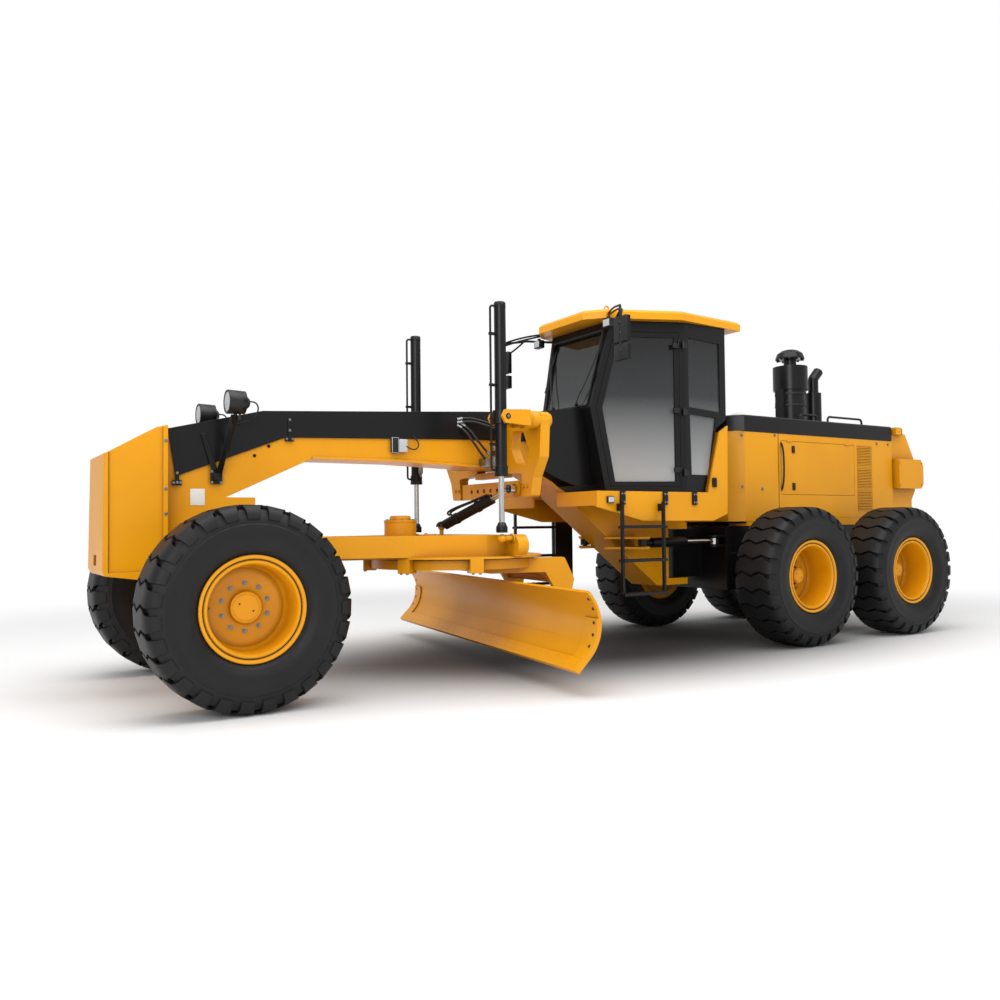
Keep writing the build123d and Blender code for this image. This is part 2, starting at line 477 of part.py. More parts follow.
# ---------------------------------------------------------------- drawbar
DRAWBAR_Z = (1012, 1200)                # box section of the A-frame
CIRCLE_X = 4380
CIRCLE_OUTER, CIRCLE_INNER = 770, 640
CIRCLE_Z = (900, 985)
GUARD_RADIUS = 840
NOSE_BALL = 60
CROSS_PIN = 28

ball = Pos(*NOSE) * Sphere(NOSE_BALL) + bar((NOSE[0], -95, NOSE[2]), (NOSE[0], 95, NOSE[2]), CROSS_PIN)
ball -= bar((NOSE[0], 0, 1000), (NOSE[0], 0, 1300), NOSE_PIN + PIN_PLAY)
piece("drawbar_ball", ball)

end_x = LIFT_X - 110
leg = floor_plate([(NOSE[0] - 120, 50), (NOSE[0] - 120, 130), (LIFT_X + 80, LIFT_Y - 120), (end_x, LIFT_Y - 110),
                   (end_x, LIFT_Y + 50), (end_x - 110, LIFT_Y + 50), (end_x - 110, LIFT_Y - 280),
                   (LIFT_X + 60, LIFT_Y - 290), (5400, 200)], DRAWBAR_Z)
drawbar = both(leg)
nose = block((NOSE[0] - 260, NOSE[0] - 85), (-130, 130), (NOSE[2] - 60, NOSE[2] + 60))
nose += both(side_plate([(NOSE[0] - 90, NOSE[2] - 60), (NOSE[0] + 20, NOSE[2] - 50), (NOSE[0] + 55, NOSE[2]),
                         (NOSE[0] + 20, NOSE[2] + 50), (NOSE[0] - 90, NOSE[2] + 60)], (65, 95)))
nose -= bar((NOSE[0], -200, NOSE[2]), (NOSE[0], 200, NOSE[2]), CROSS_PIN + PIN_PLAY)
drawbar += nose
drawbar += block((end_x - 110, end_x), (-LIFT_Y + 279, LIFT_Y - 279), DRAWBAR_Z)
drawbar += block((5000, 5120), (-400, 400), (DRAWBAR_Z[0], DRAWBAR_Z[1] - 20))
guard = bar((CIRCLE_X, 0, DRAWBAR_Z[0] - 18), (CIRCLE_X, 0, DRAWBAR_Z[0] + 1), GUARD_RADIUS)
guard -= bar((CIRCLE_X, 0, 900), (CIRCLE_X, 0, 1100), CIRCLE_INNER - 30)
drawbar += guard
drawbar += floor_plate([(5150, -300), (5600, -180), (5600, 180), (5150, 300)], (DRAWBAR_Z[0] - 18, DRAWBAR_Z[0] + 1))
MOTOR_X = CIRCLE_X + CIRCLE_INNER - 90
drawbar += block((MOTOR_X - 190, 5100), (-330, 330), (DRAWBAR_Z[0] - 18, DRAWBAR_Z[0] + 8))
drawbar += bar((MOTOR_X, 0, DRAWBAR_Z[0]), (MOTOR_X, 0, 1320), 145)
# ball posts of the lift cylinders, on lugs at the crossbeam's ends
post = Pos(LIFT_X, LIFT_Y, BALL_Z) * Sphere(BALL_RADIUS)
post += bar((end_x - 1, LIFT_Y, BALL_Z), (LIFT_X, LIFT_Y, BALL_Z), 26)
post += bar((end_x - 110, LIFT_Y, DRAWBAR_Z[0] + 94), (end_x, LIFT_Y, DRAWBAR_Z[0] + 94), 98)
drawbar += both(post)
SHIFT_BASE = (4440, -110, 1275)
drawbar += block((4340, 4520), (-600, 600), DRAWBAR_Z)
SHIFT_BALL = 34
drawbar += bar((SHIFT_BASE[0], SHIFT_BASE[1], DRAWBAR_Z[1] - 1), SHIFT_BASE, 20) + Pos(*SHIFT_BASE) * Sphere(SHIFT_BALL)
# shoes that hold the circle from below
for angle in (30, 75, -75, -30):
    cx2 = CIRCLE_X + (CIRCLE_OUTER + 30) * cos(radians(angle))
    cy2 = (CIRCLE_OUTER + 30) * sin(radians(angle))
    shoe = Pos(cx2, cy2, 0) * Rot(0, 0, angle) * block((-26, 40), (-60, 60), (CIRCLE_Z[0] - 26, DRAWBAR_Z[0] - 17))
    shoe += Pos(cx2, cy2, 0) * Rot(0, 0, angle) * block((-75, -20), (-60, 60), (CIRCLE_Z[0] - 26, CIRCLE_Z[0] - SEAT))
    drawbar += shoe
piece("drawbar", drawbar)

# ---------------------------------------------------------------- centre-shift cylinder
start, end = Vector(*SHIFT_BASE), Vector(*SHIFT_EYE)
along = (end - start).normalized()
SHIFT_BARREL, SHIFT_ROD = 48, 24
SHIFT_BARREL_LENGTH = 600
barrel = bar(start + along * 44, start + along * SHIFT_BARREL_LENGTH, SHIFT_BARREL)
cup = Pos(*SHIFT_BASE) * Sphere(SHIFT_BALL + 20)
cup -= Pos(*SHIFT_BASE) * Box(200, 200, 200, align=(Align.CENTER, Align.CENTER, Align.MAX))
barrel = barrel + cup - Pos(*SHIFT_BASE) * Sphere(SHIFT_BALL + PIN_PLAY)
barrel -= bar(start + along * 70, start + along * 700, SHIFT_ROD + PIN_PLAY)
piece("shift_barrel", barrel)
shift_rod = bar(start + along * 215, end - along * 20, SHIFT_ROD)
shift_rod += bar(end - Vector(20, 0, 0), end + Vector(26, 0, 0), 46)
piece("shift_rod", shift_rod)

# ---------------------------------------------------------------- circle, blade carrier and blade
# Drawn with the blade straight across, then turned to its angle at rest about the circle.
BLADE_ANGLE = -8.4
BLADE_LENGTH = 4270
EDGE_X = CIRCLE_X - 171                 # cutting edge, with the blade straight across
EDGE_Z = 176
BOARD_RADIUS = 340
BOARD_THICK = 22
BOARD_WRAP = 43                         # half the moldboard's arc, in degrees
EDGE_PLATE = 150
TIP_X, TIP_Z = CIRCLE_X - 540, 450      # axis that the carrier tips about
ARM_Y = (500, 560)
AT_REST = Pos(CIRCLE_X, 0, 0) * Rot(0, 0, BLADE_ANGLE) * Pos(-CIRCLE_X, 0, 0)

circle = bar((CIRCLE_X, 0, CIRCLE_Z[0]), (CIRCLE_X, 0, CIRCLE_Z[1]), CIRCLE_OUTER)
circle -= bar((CIRCLE_X, 0, CIRCLE_Z[0] - 1), (CIRCLE_X, 0, CIRCLE_Z[1] + 1), CIRCLE_INNER)
ARM_TOP, ARM_UNDER = CIRCLE_Z[1], 850
# gooseneck arm: back from the circle, round and down, and forward to the tip pin
neck = [(CIRCLE_X + 260, ARM_TOP), (CIRCLE_X - 900, ARM_TOP), (CIRCLE_X - 1000, 780), (CIRCLE_X - 930, 500),
        (TIP_X - 60, TIP_Z - 72), (TIP_X + 84, TIP_Z - 72), (TIP_X + 84, TIP_Z + 66), (CIRCLE_X - 700, 560),
        (CIRCLE_X - 790, 700), (CIRCLE_X - 700, ARM_UNDER), (CIRCLE_X - 150, ARM_UNDER), (CIRCLE_X + 260, 905)]
arm = extrude(rounded([(x, ARM_Y[0], z) for x, z in neck], 30), amount=ARM_Y[1] - ARM_Y[0], dir=(0, 1, 0))
arm -= bar((TIP_X, ARM_Y[0] - 1, TIP_Z), (TIP_X, ARM_Y[1] + 1, TIP_Z), 40 + PIN_PLAY)
circle += both(arm)
circle += bar((CIRCLE_X - 850, -ARM_Y[0] - 1, 790), (CIRCLE_X - 850, ARM_Y[0] + 1, 790), 50)
circle -= bar((CIRCLE_X, 0, CIRCLE_Z[0] - 1), (CIRCLE_X, 0, CIRCLE_Z[1] + 1), CIRCLE_INNER)
piece("circle", AT_REST * circle)

RAIL_Z = (380, 640)                     # the moldboard's two slide rails
RAIL_X = CIRCLE_X - 432
RAIL_HALF = 23
carrier = both(bar((TIP_X, ARM_Y[0] - 30, TIP_Z), (TIP_X, ARM_Y[1] + 30, TIP_Z), 40))
carrier_arm = side_plate([(TIP_X - 60, TIP_Z - 70), (RAIL_X - 30, RAIL_Z[0] - 60), (RAIL_X - 30, RAIL_Z[1] + 60),
                          (TIP_X - 20, RAIL_Z[1] + 60), (TIP_X - 60, TIP_Z + 70)], (ARM_Y[0] - 90, ARM_Y[0] - 20))
carrier += both(carrier_arm)
carrier += bar((TIP_X, -ARM_Y[0] + 21, TIP_Z), (TIP_X, ARM_Y[0] - 21, TIP_Z), 50)
for z in RAIL_Z:
    shoe = block((RAIL_X - 31, RAIL_X + 4), (ARM_Y[0] - 110, ARM_Y[0] - 8), (z - 52, z + 52))
    shoe -= block((RAIL_X - 14 - PIN_PLAY, RAIL_X + 10), (ARM_Y[0] - 120, ARM_Y[0]),
                  (z - RAIL_HALF - PIN_PLAY, z + RAIL_HALF + PIN_PLAY))
    carrier += both(shoe)
# side-shift cylinder between the rails; its rod ends on the moldboard
SHIFT_CYL_X, SHIFT_CYL_Z = RAIL_X + 8, 510
SHIFT_CYL, SHIFT_CYL_ROD = 30, 15
SHIFT_MOUTH, SHIFT_HEAD = -560, 780
SHIFT_IN, SHIFT_EYE_Y = 100, -1480
carrier += bar((SHIFT_CYL_X, SHIFT_MOUTH, SHIFT_CYL_Z), (SHIFT_CYL_X, SHIFT_HEAD, SHIFT_CYL_Z), SHIFT_CYL)
carrier += both(block((RAIL_X - 34, SHIFT_CYL_X), (ARM_Y[0] - 88, ARM_Y[0] - 22), (SHIFT_CYL_Z - 26, SHIFT_CYL_Z + 26)))
carrier -= bar((SHIFT_CYL_X, SHIFT_MOUTH - 1, SHIFT_CYL_Z), (SHIFT_CYL_X, SHIFT_HEAD - 30, SHIFT_CYL_Z),
               SHIFT_CYL_ROD + PIN_PLAY)
piece("blade_carrier", AT_REST * carrier)

wrap = radians(BOARD_WRAP)
arc_z = EDGE_Z + EDGE_PLATE * cos(wrap) + (BOARD_RADIUS + BOARD_THICK) * sin(wrap)
arc_x = EDGE_X + BOARD_RADIUS * cos(wrap) - EDGE_PLATE * sin(wrap)
BLADE_OFFSET = -41.2                    # puts the blade's ends as far from Y 0 on both sides
blade_end = BLADE_OFFSET - BLADE_LENGTH / 2


def board_arc(radius, angle):
    return (arc_x - radius * cos(radians(angle)), blade_end, arc_z + radius * sin(radians(angle)))


outer, inner = BOARD_RADIUS + BOARD_THICK, BOARD_RADIUS
edge_dir = Vector(sin(radians(BOARD_WRAP)), 0, -cos(radians(BOARD_WRAP)))
lip = 15
low_in, low_out = Vector(*board_arc(inner, -BOARD_WRAP)), Vector(*board_arc(outer, -BOARD_WRAP))
high_in, high_out = Vector(*board_arc(inner, BOARD_WRAP)), Vector(*board_arc(outer, BOARD_WRAP))
up_dir = Vector(sin(radians(BOARD_WRAP)), 0, cos(radians(BOARD_WRAP)))
profile = [Line(low_in, low_in + edge_dir * EDGE_PLATE),
           Line(low_in + edge_dir * EDGE_PLATE, low_out + edge_dir * EDGE_PLATE),
           Line(low_out + edge_dir * EDGE_PLATE, low_out),
           ThreePointArc(low_out, board_arc(outer, 0), high_out),
           Line(high_out, high_out + up_dir * lip),
           Line(high_out + up_dir * lip, high_in + up_dir * lip),
           Line(high_in + up_dir * lip, high_in),
           ThreePointArc(high_in, board_arc(inner, 0), low_in)]
board = extrude(make_face(Wire(profile)), amount=BLADE_LENGTH, dir=(0, 1, 0))
for z in RAIL_Z:
    bite = sqrt(outer ** 2 - (abs(z - arc_z) + 24) ** 2)
    rail = block((RAIL_X - 14, arc_x - bite + 4), (-1500, 1500), (z - RAIL_HALF, z + RAIL_HALF))
    board += rail
# bolted cutting edge in front of the moldboard's foot
EDGE_THICK = 16
front_dir = Vector(cos(wrap), 0, sin(wrap))
strip = [low_in + edge_dir * 34, low_in + edge_dir * EDGE_PLATE, low_in + edge_dir * EDGE_PLATE + front_dir * EDGE_THICK,
         low_in + edge_dir * 34 + front_dir * EDGE_THICK]
board += extrude(make_face(Polyline(*strip, close=True)), amount=BLADE_LENGTH, dir=(0, 1, 0))
board += bar((SHIFT_CYL_X, SHIFT_IN, SHIFT_CYL_Z), (SHIFT_CYL_X, SHIFT_EYE_Y + 20, SHIFT_CYL_Z), SHIFT_CYL_ROD)
board += block((SHIFT_CYL_X - 20, arc_x - outer + 12), (SHIFT_EYE_Y - 20, SHIFT_EYE_Y + 20),
               (SHIFT_CYL_Z - 40, SHIFT_CYL_Z + 40))
piece("moldboard", AT_REST * board)

# ---------------------------------------------------------------- articulation cylinders
ARTIC_BARREL_X = (1840, 2310)            # the barrel's mouth and its closed end
ARTIC_BARREL, ARTIC_ROD, ARTIC_PIN = 52, 25, 25
barrel = bar((ARTIC_BARREL_X[1], ARTIC_CYL_Y, ARTIC_Z), (ARTIC_BARREL_X[0], ARTIC_CYL_Y, ARTIC_Z), ARTIC_BARREL)
barrel += bar((ARTIC_BARREL_X[1] - 1, ARTIC_CYL_Y, ARTIC_Z), (ARTIC_FRONT_X, ARTIC_CYL_Y, ARTIC_Z), 32)
barrel += bar((ARTIC_FRONT_X, ARTIC_CYL_Y, ARTIC_Z - 34), (ARTIC_FRONT_X, ARTIC_CYL_Y, ARTIC_Z + 34), 52)
barrel -= bar((ARTIC_FRONT_X, ARTIC_CYL_Y, ARTIC_Z - 60), (ARTIC_FRONT_X, ARTIC_CYL_Y, ARTIC_Z + 60),
              ARTIC_PIN + PIN_PLAY)
barrel -= bar((ARTIC_BARREL_X[1] - 15, ARTIC_CYL_Y, ARTIC_Z), (ARTIC_BARREL_X[0] - 1, ARTIC_CYL_Y, ARTIC_Z),
              ARTIC_ROD + PIN_PLAY)
rod = bar((2083, ARTIC_CYL_Y, ARTIC_Z), (ARTIC_REAR_X + 30, ARTIC_CYL_Y, ARTIC_Z), ARTIC_ROD)
rod += bar((ARTIC_REAR_X, ARTIC_CYL_Y, ARTIC_Z - 32), (ARTIC_REAR_X, ARTIC_CYL_Y, ARTIC_Z + 32), 48)
rod -= bar((ARTIC_REAR_X, ARTIC_CYL_Y, ARTIC_Z - 60), (ARTIC_REAR_X, ARTIC_CYL_Y, ARTIC_Z + 60), 24)
piece("artic_barrel_left", barrel)
piece("artic_rod_left", rod)
piece("artic_barrel_right", mirrored(barrel))
piece("artic_rod_right", mirrored(rod))

# ---------------------------------------------------------------- front axle
LEAN_Y, LEAN_Z = 800, 640
KING_Y = 905
KING_PIN = 30
BAR_Z = 970                             # lean bar
BAR_RADIUS, BAR_EYE, BAR_PIN = 26, 36, 20
YOKE_Y = (772, 838)
YOKE_X = 78
BEAM_X = 100
beam = cross_plate([(-LEAN_Y, LEAN_Z - 70), (-560, 560), (560, 560), (LEAN_Y, LEAN_Z - 70), (LEAN_Y, LEAN_Z + 70),
                    (560, 790), (170, 915), (-170, 915), (-560, 790), (-LEAN_Y, LEAN_Z + 70)],
                   (WHEELBASE - BEAM_X, WHEELBASE + BEAM_X))
beam += both(bar((WHEELBASE - BEAM_X, LEAN_Y, LEAN_Z), (WHEELBASE + BEAM_X, LEAN_Y, LEAN_Z), 70))
gap = block((WHEELBASE - YOKE_X - 3, WHEELBASE + YOKE_X + 3), (700, 900), (0, 2000))
beam -= both(gap)
beam += both(bar((WHEELBASE - BEAM_X - 10, LEAN_Y, LEAN_Z), (WHEELBASE + BEAM_X + 10, LEAN_Y, LEAN_Z), 34))
beam -= bar((WHEELBASE - 200, 0, OSCILLATION_Z), (WHEELBASE + 200, 0, OSCILLATION_Z), OSCILLATION_PIN + PIN_PLAY)
piece("front_axle", beam)

yoke = cross_plate([(LEAN_Y - 40, LEAN_Z - 66), (YOKE_Y[1], LEAN_Z - 66), (YOKE_Y[1], BAR_Z - 20), (LEAN_Y + 28, BAR_Z + BAR_EYE),
                    (LEAN_Y - 28, BAR_Z + BAR_EYE), (LEAN_Y - 32, BAR_Z - 60), (YOKE_Y[0], LEAN_Z + 90)],
                   (WHEELBASE - YOKE_X, WHEELBASE + YOKE_X))
for low, high in ((570, 620), (830, 880)):
    yoke += block((WHEELBASE - 60, WHEELBASE + 60), (YOKE_Y[1] - 1, KING_Y), (low, high))
    yoke += bar((WHEELBASE, KING_Y, low), (WHEELBASE, KING_Y, high), 60)
yoke -= bar((WHEELBASE, KING_Y, 500), (WHEELBASE, KING_Y, 900), KING_PIN + PIN_PLAY)
yoke -= bar((WHEELBASE - 200, LEAN_Y, LEAN_Z), (WHEELBASE + 200, LEAN_Y, LEAN_Z), 34 + PIN_PLAY)
yoke -= block((WHEELBASE - 42, WHEELBASE + 42), (LEAN_Y - 80, LEAN_Y + 80), (BAR_Z - 60, BAR_Z + 60))
yoke += bar((WHEELBASE - YOKE_X - 6, LEAN_Y, BAR_Z), (WHEELBASE + YOKE_X + 6, LEAN_Y, BAR_Z), BAR_PIN)
piece("lean_yoke_left", yoke)
piece("lean_yoke_right", mirrored(yoke))

lean_bar = bar((WHEELBASE, -LEAN_Y + 30, BAR_Z), (WHEELBASE, LEAN_Y - 30, BAR_Z), BAR_RADIUS)
lean_bar += both(bar((WHEELBASE - 34, LEAN_Y, BAR_Z), (WHEELBASE + 34, LEAN_Y, BAR_Z), BAR_EYE))
lean_bar -= both(bar((WHEELBASE - 60, LEAN_Y, BAR_Z), (WHEELBASE + 60, LEAN_Y, BAR_Z), BAR_PIN + PIN_PLAY))
piece("lean_bar", lean_bar)

ARM_LOW = (468, 500)
TIE_X = WHEELBASE - 215
knuckle = bar((WHEELBASE, KING_Y, 622), (WHEELBASE, KING_Y, 828), 58)
knuckle += bar((WHEELBASE, KING_Y, ARM_LOW[0]), (WHEELBASE, KING_Y, 886), KING_PIN)
knuckle += bar((WHEELBASE, KING_Y, 882), (WHEELBASE, KING_Y, 896), 44)
knuckle += bar((WHEELBASE, KING_Y, ARM_LOW[0]), (WHEELBASE, KING_Y, 566), 46)
spindle_tip = FRONT_TRACK / 2 + SPINDLE_END
spindle_root = FRONT_TRACK / 2 + HUB_BACK - 4
knuckle += bar((WHEELBASE, KING_Y + 30, AXLE_Z), (WHEELBASE, spindle_root, AXLE_Z), 72)
knuckle += bar((WHEELBASE, spindle_root - 1, AXLE_Z), (WHEELBASE, spindle_tip, AXLE_Z), SPINDLE_RADIUS)
TIE_Y = 812                             # as far out as the tyre's inner side lets it be
steer_arm = floor_plate([(WHEELBASE + 36, KING_Y - 28), (WHEELBASE - 50, KING_Y - 44), (TIE_X, TIE_Y - 28),
                         (TIE_X, TIE_Y + 28), (WHEELBASE - 30, KING_Y + 30), (WHEELBASE + 30, KING_Y + 34)],
                        ARM_LOW)
knuckle += steer_arm + bar((TIE_X, TIE_Y, ARM_LOW[0]), (TIE_X, TIE_Y, ARM_LOW[1]), 28)
piece("knuckle_left", knuckle)
piece("knuckle_right", mirrored(knuckle))

TIE_Z = 425
tie_ball = bar((TIE_X, TIE_Y, TIE_Z), (TIE_X, TIE_Y, ARM_LOW[0] - SEAT), 18)
tie_ball += Pos(TIE_X, TIE_Y, TIE_Z) * Sphere(26)
piece("tie_rod_ball", tie_ball)
tie = bar((TIE_X, -TIE_Y + 60, TIE_Z), (TIE_X, TIE_Y - 60, TIE_Z), 22)
socket = bar((TIE_X, TIE_Y, TIE_Z - 22), (TIE_X, TIE_Y, TIE_Z + 10), 36)
socket += bar((TIE_X, TIE_Y - 61, TIE_Z), (TIE_X, TIE_Y - 30, TIE_Z), 20)
tie += both(socket)
tie -= Pos(TIE_X, TIE_Y, TIE_Z) * Sphere(26 + PIN_PLAY)
tie -= bar((TIE_X, -TIE_Y, TIE_Z - 60), (TIE_X, -TIE_Y, TIE_Z + 60), 26 + PIN_PLAY)
piece("tie_rod", tie)

# ---------------------------------------------------------------- cab
# The cab narrows from its B-pillars to the windscreen: its solid is a side profile cut by a plan.
CAB_HALF = 800
B_PILLAR_X = 2105
TAPER = 0.42                            # sideways per unit of length, ahead of the B-pillars
CAB_FLOOR, CAB_TOP = 1600, 3330
CAB_OUTER = [(1853, CAB_FLOOR), (2889, CAB_FLOOR), (3031, 2460), (2822, CAB_TOP), (1530, CAB_TOP),
             (1530, 2370), (1678, 2270)]
CAB_INNER = [(1915, CAB_FLOOR + 50), (2830, CAB_FLOOR + 50), (2962, 2460), (2765, CAB_TOP - 50),
             (1590, CAB_TOP - 50), (1590, 2410), (1735, 2315)]
DOOR = [(2160, 1655), (2846, 1655), (2975, 2458), (2790, 3225), (2160, 3225)]
DOOR_GLASS = [(2212, 1710), (2800, 1710), (2915, 2452), (2744, 3170), (2212, 3170)]
SIDE_GLASS = [[(1612, 2440), (2060, 2470), (2060, 3180), (1612, 3160)],
              [(1795, 1780), (2035, 1780), (2050, 2400), (1680, 2375)]]
SCREEN = [(-350, 2495), (350, 2495), (425, 3235), (-425, 3235)]
REAR_GLASS = [(-640, 2450), (640, 2450), (640, 3200), (-640, 3200)]
PANE = 8
PANE_INSET = 16


def cab_plan(inset):
    """The cab's plan, inset from its outer faces, as a tall prism."""
    corner = B_PILLAR_X - inset * (sqrt(1 + TAPER ** 2) - 1) / TAPER
    half = CAB_HALF - inset
    tip = half - TAPER * (3200 - corner)
    points = [(1400, -half), (corner, -half), (3200, -tip), (3200, tip), (corner, half), (1400, half)]
    return floor_plate(points, (CAB_FLOOR - 300, CAB_TOP + 300))


def shrunk(outline, by):
    """Outline moved towards its middle, so that a pane or a door clears its opening."""
    mx = sum(x for x, _ in outline) / len(outline)
    mz = sum(z for _, z in outline) / len(outline)
    return [(x + (by if x < mx else -by), z + (by if z < mz else -by)) for x, z in outline]


WALL = cab_plan(0) - cab_plan(PANE_INSET + PANE + 30)
GLASS = cab_plan(PANE_INSET) - cab_plan(PANE_INSET + PANE)
shell = (side_plate(CAB_OUTER, (-900, 900)) & cab_plan(0)) - (side_plate(CAB_INNER, (-900, 900)) & cab_plan(60))
for outline in [DOOR] + SIDE_GLASS:
    shell -= both(side_plate(outline, (300, 900)))
shell -= cross_plate(SCREEN, (2700, 3200))
shell -= cross_plate(REAR_GLASS, (1500, 1620))
DOOR_PLAY = 4
HINGE_PIN = 12
HINGE_X = DOOR[0][0] + DOOR_PLAY
DOOR_AXIS = (HINGE_X, CAB_HALF - TAPER * (HINGE_X - B_PILLAR_X))       # X and Y of the door's hinge line
DOOR_HINGES = [1760, 2380, 3080]        # foot of each hinge
HINGE_TALL = 70
for z in DOOR_HINGES:
    shell += both(bar((*DOOR_AXIS, z), (*DOOR_AXIS, z + HINGE_TALL), HINGE_PIN))
MIRROR = (3130, 1010)                   # X and Y of the mirrors' post
# low and high end of each mirror head
HEADS = [(2990, 3230), (2820, 2960)]
arm = run([(2780, 480, 3285), (2960, 800, 3340), (MIRROR[0], MIRROR[1], 3330), (MIRROR[0], MIRROR[1], 2830)], 13, 60)
for low, high in HEADS:
    arm += block((MIRROR[0] - 45, MIRROR[0] - 5), (MIRROR[1] - 90, MIRROR[1] + 90), (low, high))
shell += both(arm)
piece("cab_shell", shell)

door = (WALL & side_plate(shrunk(DOOR, DOOR_PLAY), (300, 900))) - side_plate(DOOR_GLASS, (300, 900))
for z in DOOR_HINGES:
    door -= bar((*DOOR_AXIS, z - 2), (*DOOR_AXIS, z + HINGE_TALL + 2), HINGE_PIN + PIN_PLAY)
pane = GLASS & side_plate(shrunk(DOOR_GLASS, SEAT), (300, 900))
leaf = Compound(children=[door, pane])
piece("cab_door_left", leaf)
piece("cab_door_right", mirror(leaf, about=Plane.XZ))

panes = [GLASS & side_plate(shrunk(outline, SEAT), (300, 900)) for outline in SIDE_GLASS]
panes += [mirrored(p) for p in panes]
screen = side_plate([(CAB_OUTER[2][0] - 24, CAB_OUTER[2][1]), (CAB_OUTER[2][0] - 14, CAB_OUTER[2][1]),
                     (CAB_OUTER[3][0] - 14, CAB_OUTER[3][1]), (CAB_OUTER[3][0] - 24, CAB_OUTER[3][1])], (-500, 500))
panes.append(screen & cross_plate(shrunk(SCREEN, SEAT), (2700, 3200)))
panes.append(cross_plate(shrunk(REAR_GLASS, SEAT), (1548, 1556)))
piece("cab_glass", Compound(children=panes))

ROOF_Z = (CAB_TOP + SEAT, 3425)
roof = floor_plate([(3085, -380), (2930, -560), (2200, -870), (1290, -800), (1290, 800), (2200, 870),
                    (2930, 560), (3085, 380)], ROOF_Z)
roof = chamfer(roof.edges().group_by(Axis.Z)[-1], 28)
for x, y in ((2860, 480), (1520, 640)):
    ring = Pos(x, y, ROOF_Z[1] + 22) * Rot(90, 0, 0) * Torus(26, 7)
    roof += both(ring)
piece("cab_roof", roof)

seat = block((2080, 2360), (-200, 200), (CAB_FLOOR + 50 + SEAT, 1900))
seat += block((2020, 2520), (-260, 260), (1900 - 1, 2040))
seat += side_plate([(2030, 2030), (2140, 2030), (2060, 2740), (1960, 2740)], (-240, 240))
seat += side_plate([(1985, 2735), (2055, 2735), (2030, 2930), (1960, 2930)], (-140, 140))
console = side_plate([(2700, CAB_FLOOR + 50 + SEAT), (2800, CAB_FLOOR + 50 + SEAT), (2850, 2150), (2700, 2330),
                      (2640, 2290), (2720, 2080)], (-90, 90))
wheel = Pos(2640, 0, 2345) * Rot(0, -35, 0) * (Torus(190, 16) + Box(380, 30, 18) + Box(30, 380, 18) + Cylinder(45, 130))
piece("cab_seat", Compound(children=[seat, console + wheel]))

# ---------------------------------------------------------------- platform under the cab
FLOOR_Z = (1560 + SEAT, CAB_FLOOR - SEAT)
SKIRT = [(3308, FLOOR_Z[1]), (3310, 1449), (2753, 1315), (1782, 1310), (1580, 1381), (1560, 2300),
         (1678, 2230), (1853, FLOOR_Z[1])]
SKIRT_Y = (826, 850)
platform = block((1580, 3308), (-SKIRT_Y[0] - 1, SKIRT_Y[0] + 1), FLOOR_Z)
platform += both(side_plate(SKIRT, SKIRT_Y))
platform += block((3284, 3308), (-SKIRT_Y[0] - 1, SKIRT_Y[0] + 1), (1460, FLOOR_Z[1]))
platform -= block((3085, 3400), (-FRAME_HALF - 10, FRAME_HALF + 10), (1400, 1700))
piece("cab_platform", platform)

LADDER_Y = (SKIRT_Y[1] + 20, SKIRT_Y[1] + 110)
LADDER_X = (2540, 3062)
ladder = []
for x in LADDER_X:
    ladder.append(block((x - 12, x + 12), (LADDER_Y[0] + 30, LADDER_Y[0] + 62), (605, 1500)))
    ladder.append(block((x - 12, x + 12), (SKIRT_Y[1] + SEAT, LADDER_Y[0] + 31), (1410, 1480)))
for z in (612, 930, 1250):
    ladder.append(block((LADDER_X[0] - 13, LADDER_X[1] + 13), LADDER_Y, (z - 7, z + 18)))
ladder = sum(ladder[1:], ladder[0])
flap = block((2290, LADDER_X[0] - 13), (-LADDER_Y[0] - 30, -LADDER_Y[0] - 14), (590, 1480))
piece("ladders_and_flap", both(ladder) + flap)
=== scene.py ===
"""Finish of a six-wheeled motor grader: paint, rubber, glass and small fittings on its CAD frame."""
import json
import math

import bmesh
import bpy
from mathutils import Matrix, Vector


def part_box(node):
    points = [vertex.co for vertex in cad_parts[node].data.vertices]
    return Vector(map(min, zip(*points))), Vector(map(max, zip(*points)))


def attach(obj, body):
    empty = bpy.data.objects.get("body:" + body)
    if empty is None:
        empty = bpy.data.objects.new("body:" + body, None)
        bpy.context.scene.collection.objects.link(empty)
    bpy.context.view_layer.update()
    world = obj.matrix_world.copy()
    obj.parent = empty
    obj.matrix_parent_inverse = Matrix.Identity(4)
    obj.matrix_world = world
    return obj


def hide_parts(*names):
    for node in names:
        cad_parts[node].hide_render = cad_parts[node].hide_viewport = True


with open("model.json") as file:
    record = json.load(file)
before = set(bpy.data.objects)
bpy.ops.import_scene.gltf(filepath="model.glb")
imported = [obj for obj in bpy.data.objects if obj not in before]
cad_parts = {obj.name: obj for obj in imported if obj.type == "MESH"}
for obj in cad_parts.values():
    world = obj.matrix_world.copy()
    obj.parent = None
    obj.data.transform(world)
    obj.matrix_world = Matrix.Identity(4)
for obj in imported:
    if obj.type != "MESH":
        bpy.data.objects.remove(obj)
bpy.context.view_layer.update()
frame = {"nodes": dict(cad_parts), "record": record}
nodes = frame["nodes"]
scene = bpy.context.scene

# ---------------------------------------------------------------- camera, floor and light
# A long hall with white walls: one broad ceiling light, a softer side light and a pale floor.
CAMERA_AT = Vector((5.897, 7.322, 1.285))
YAW, PITCH, ROLL = math.radians(32.438), math.radians(1.640), math.radians(-0.577)
LENS = 31.76

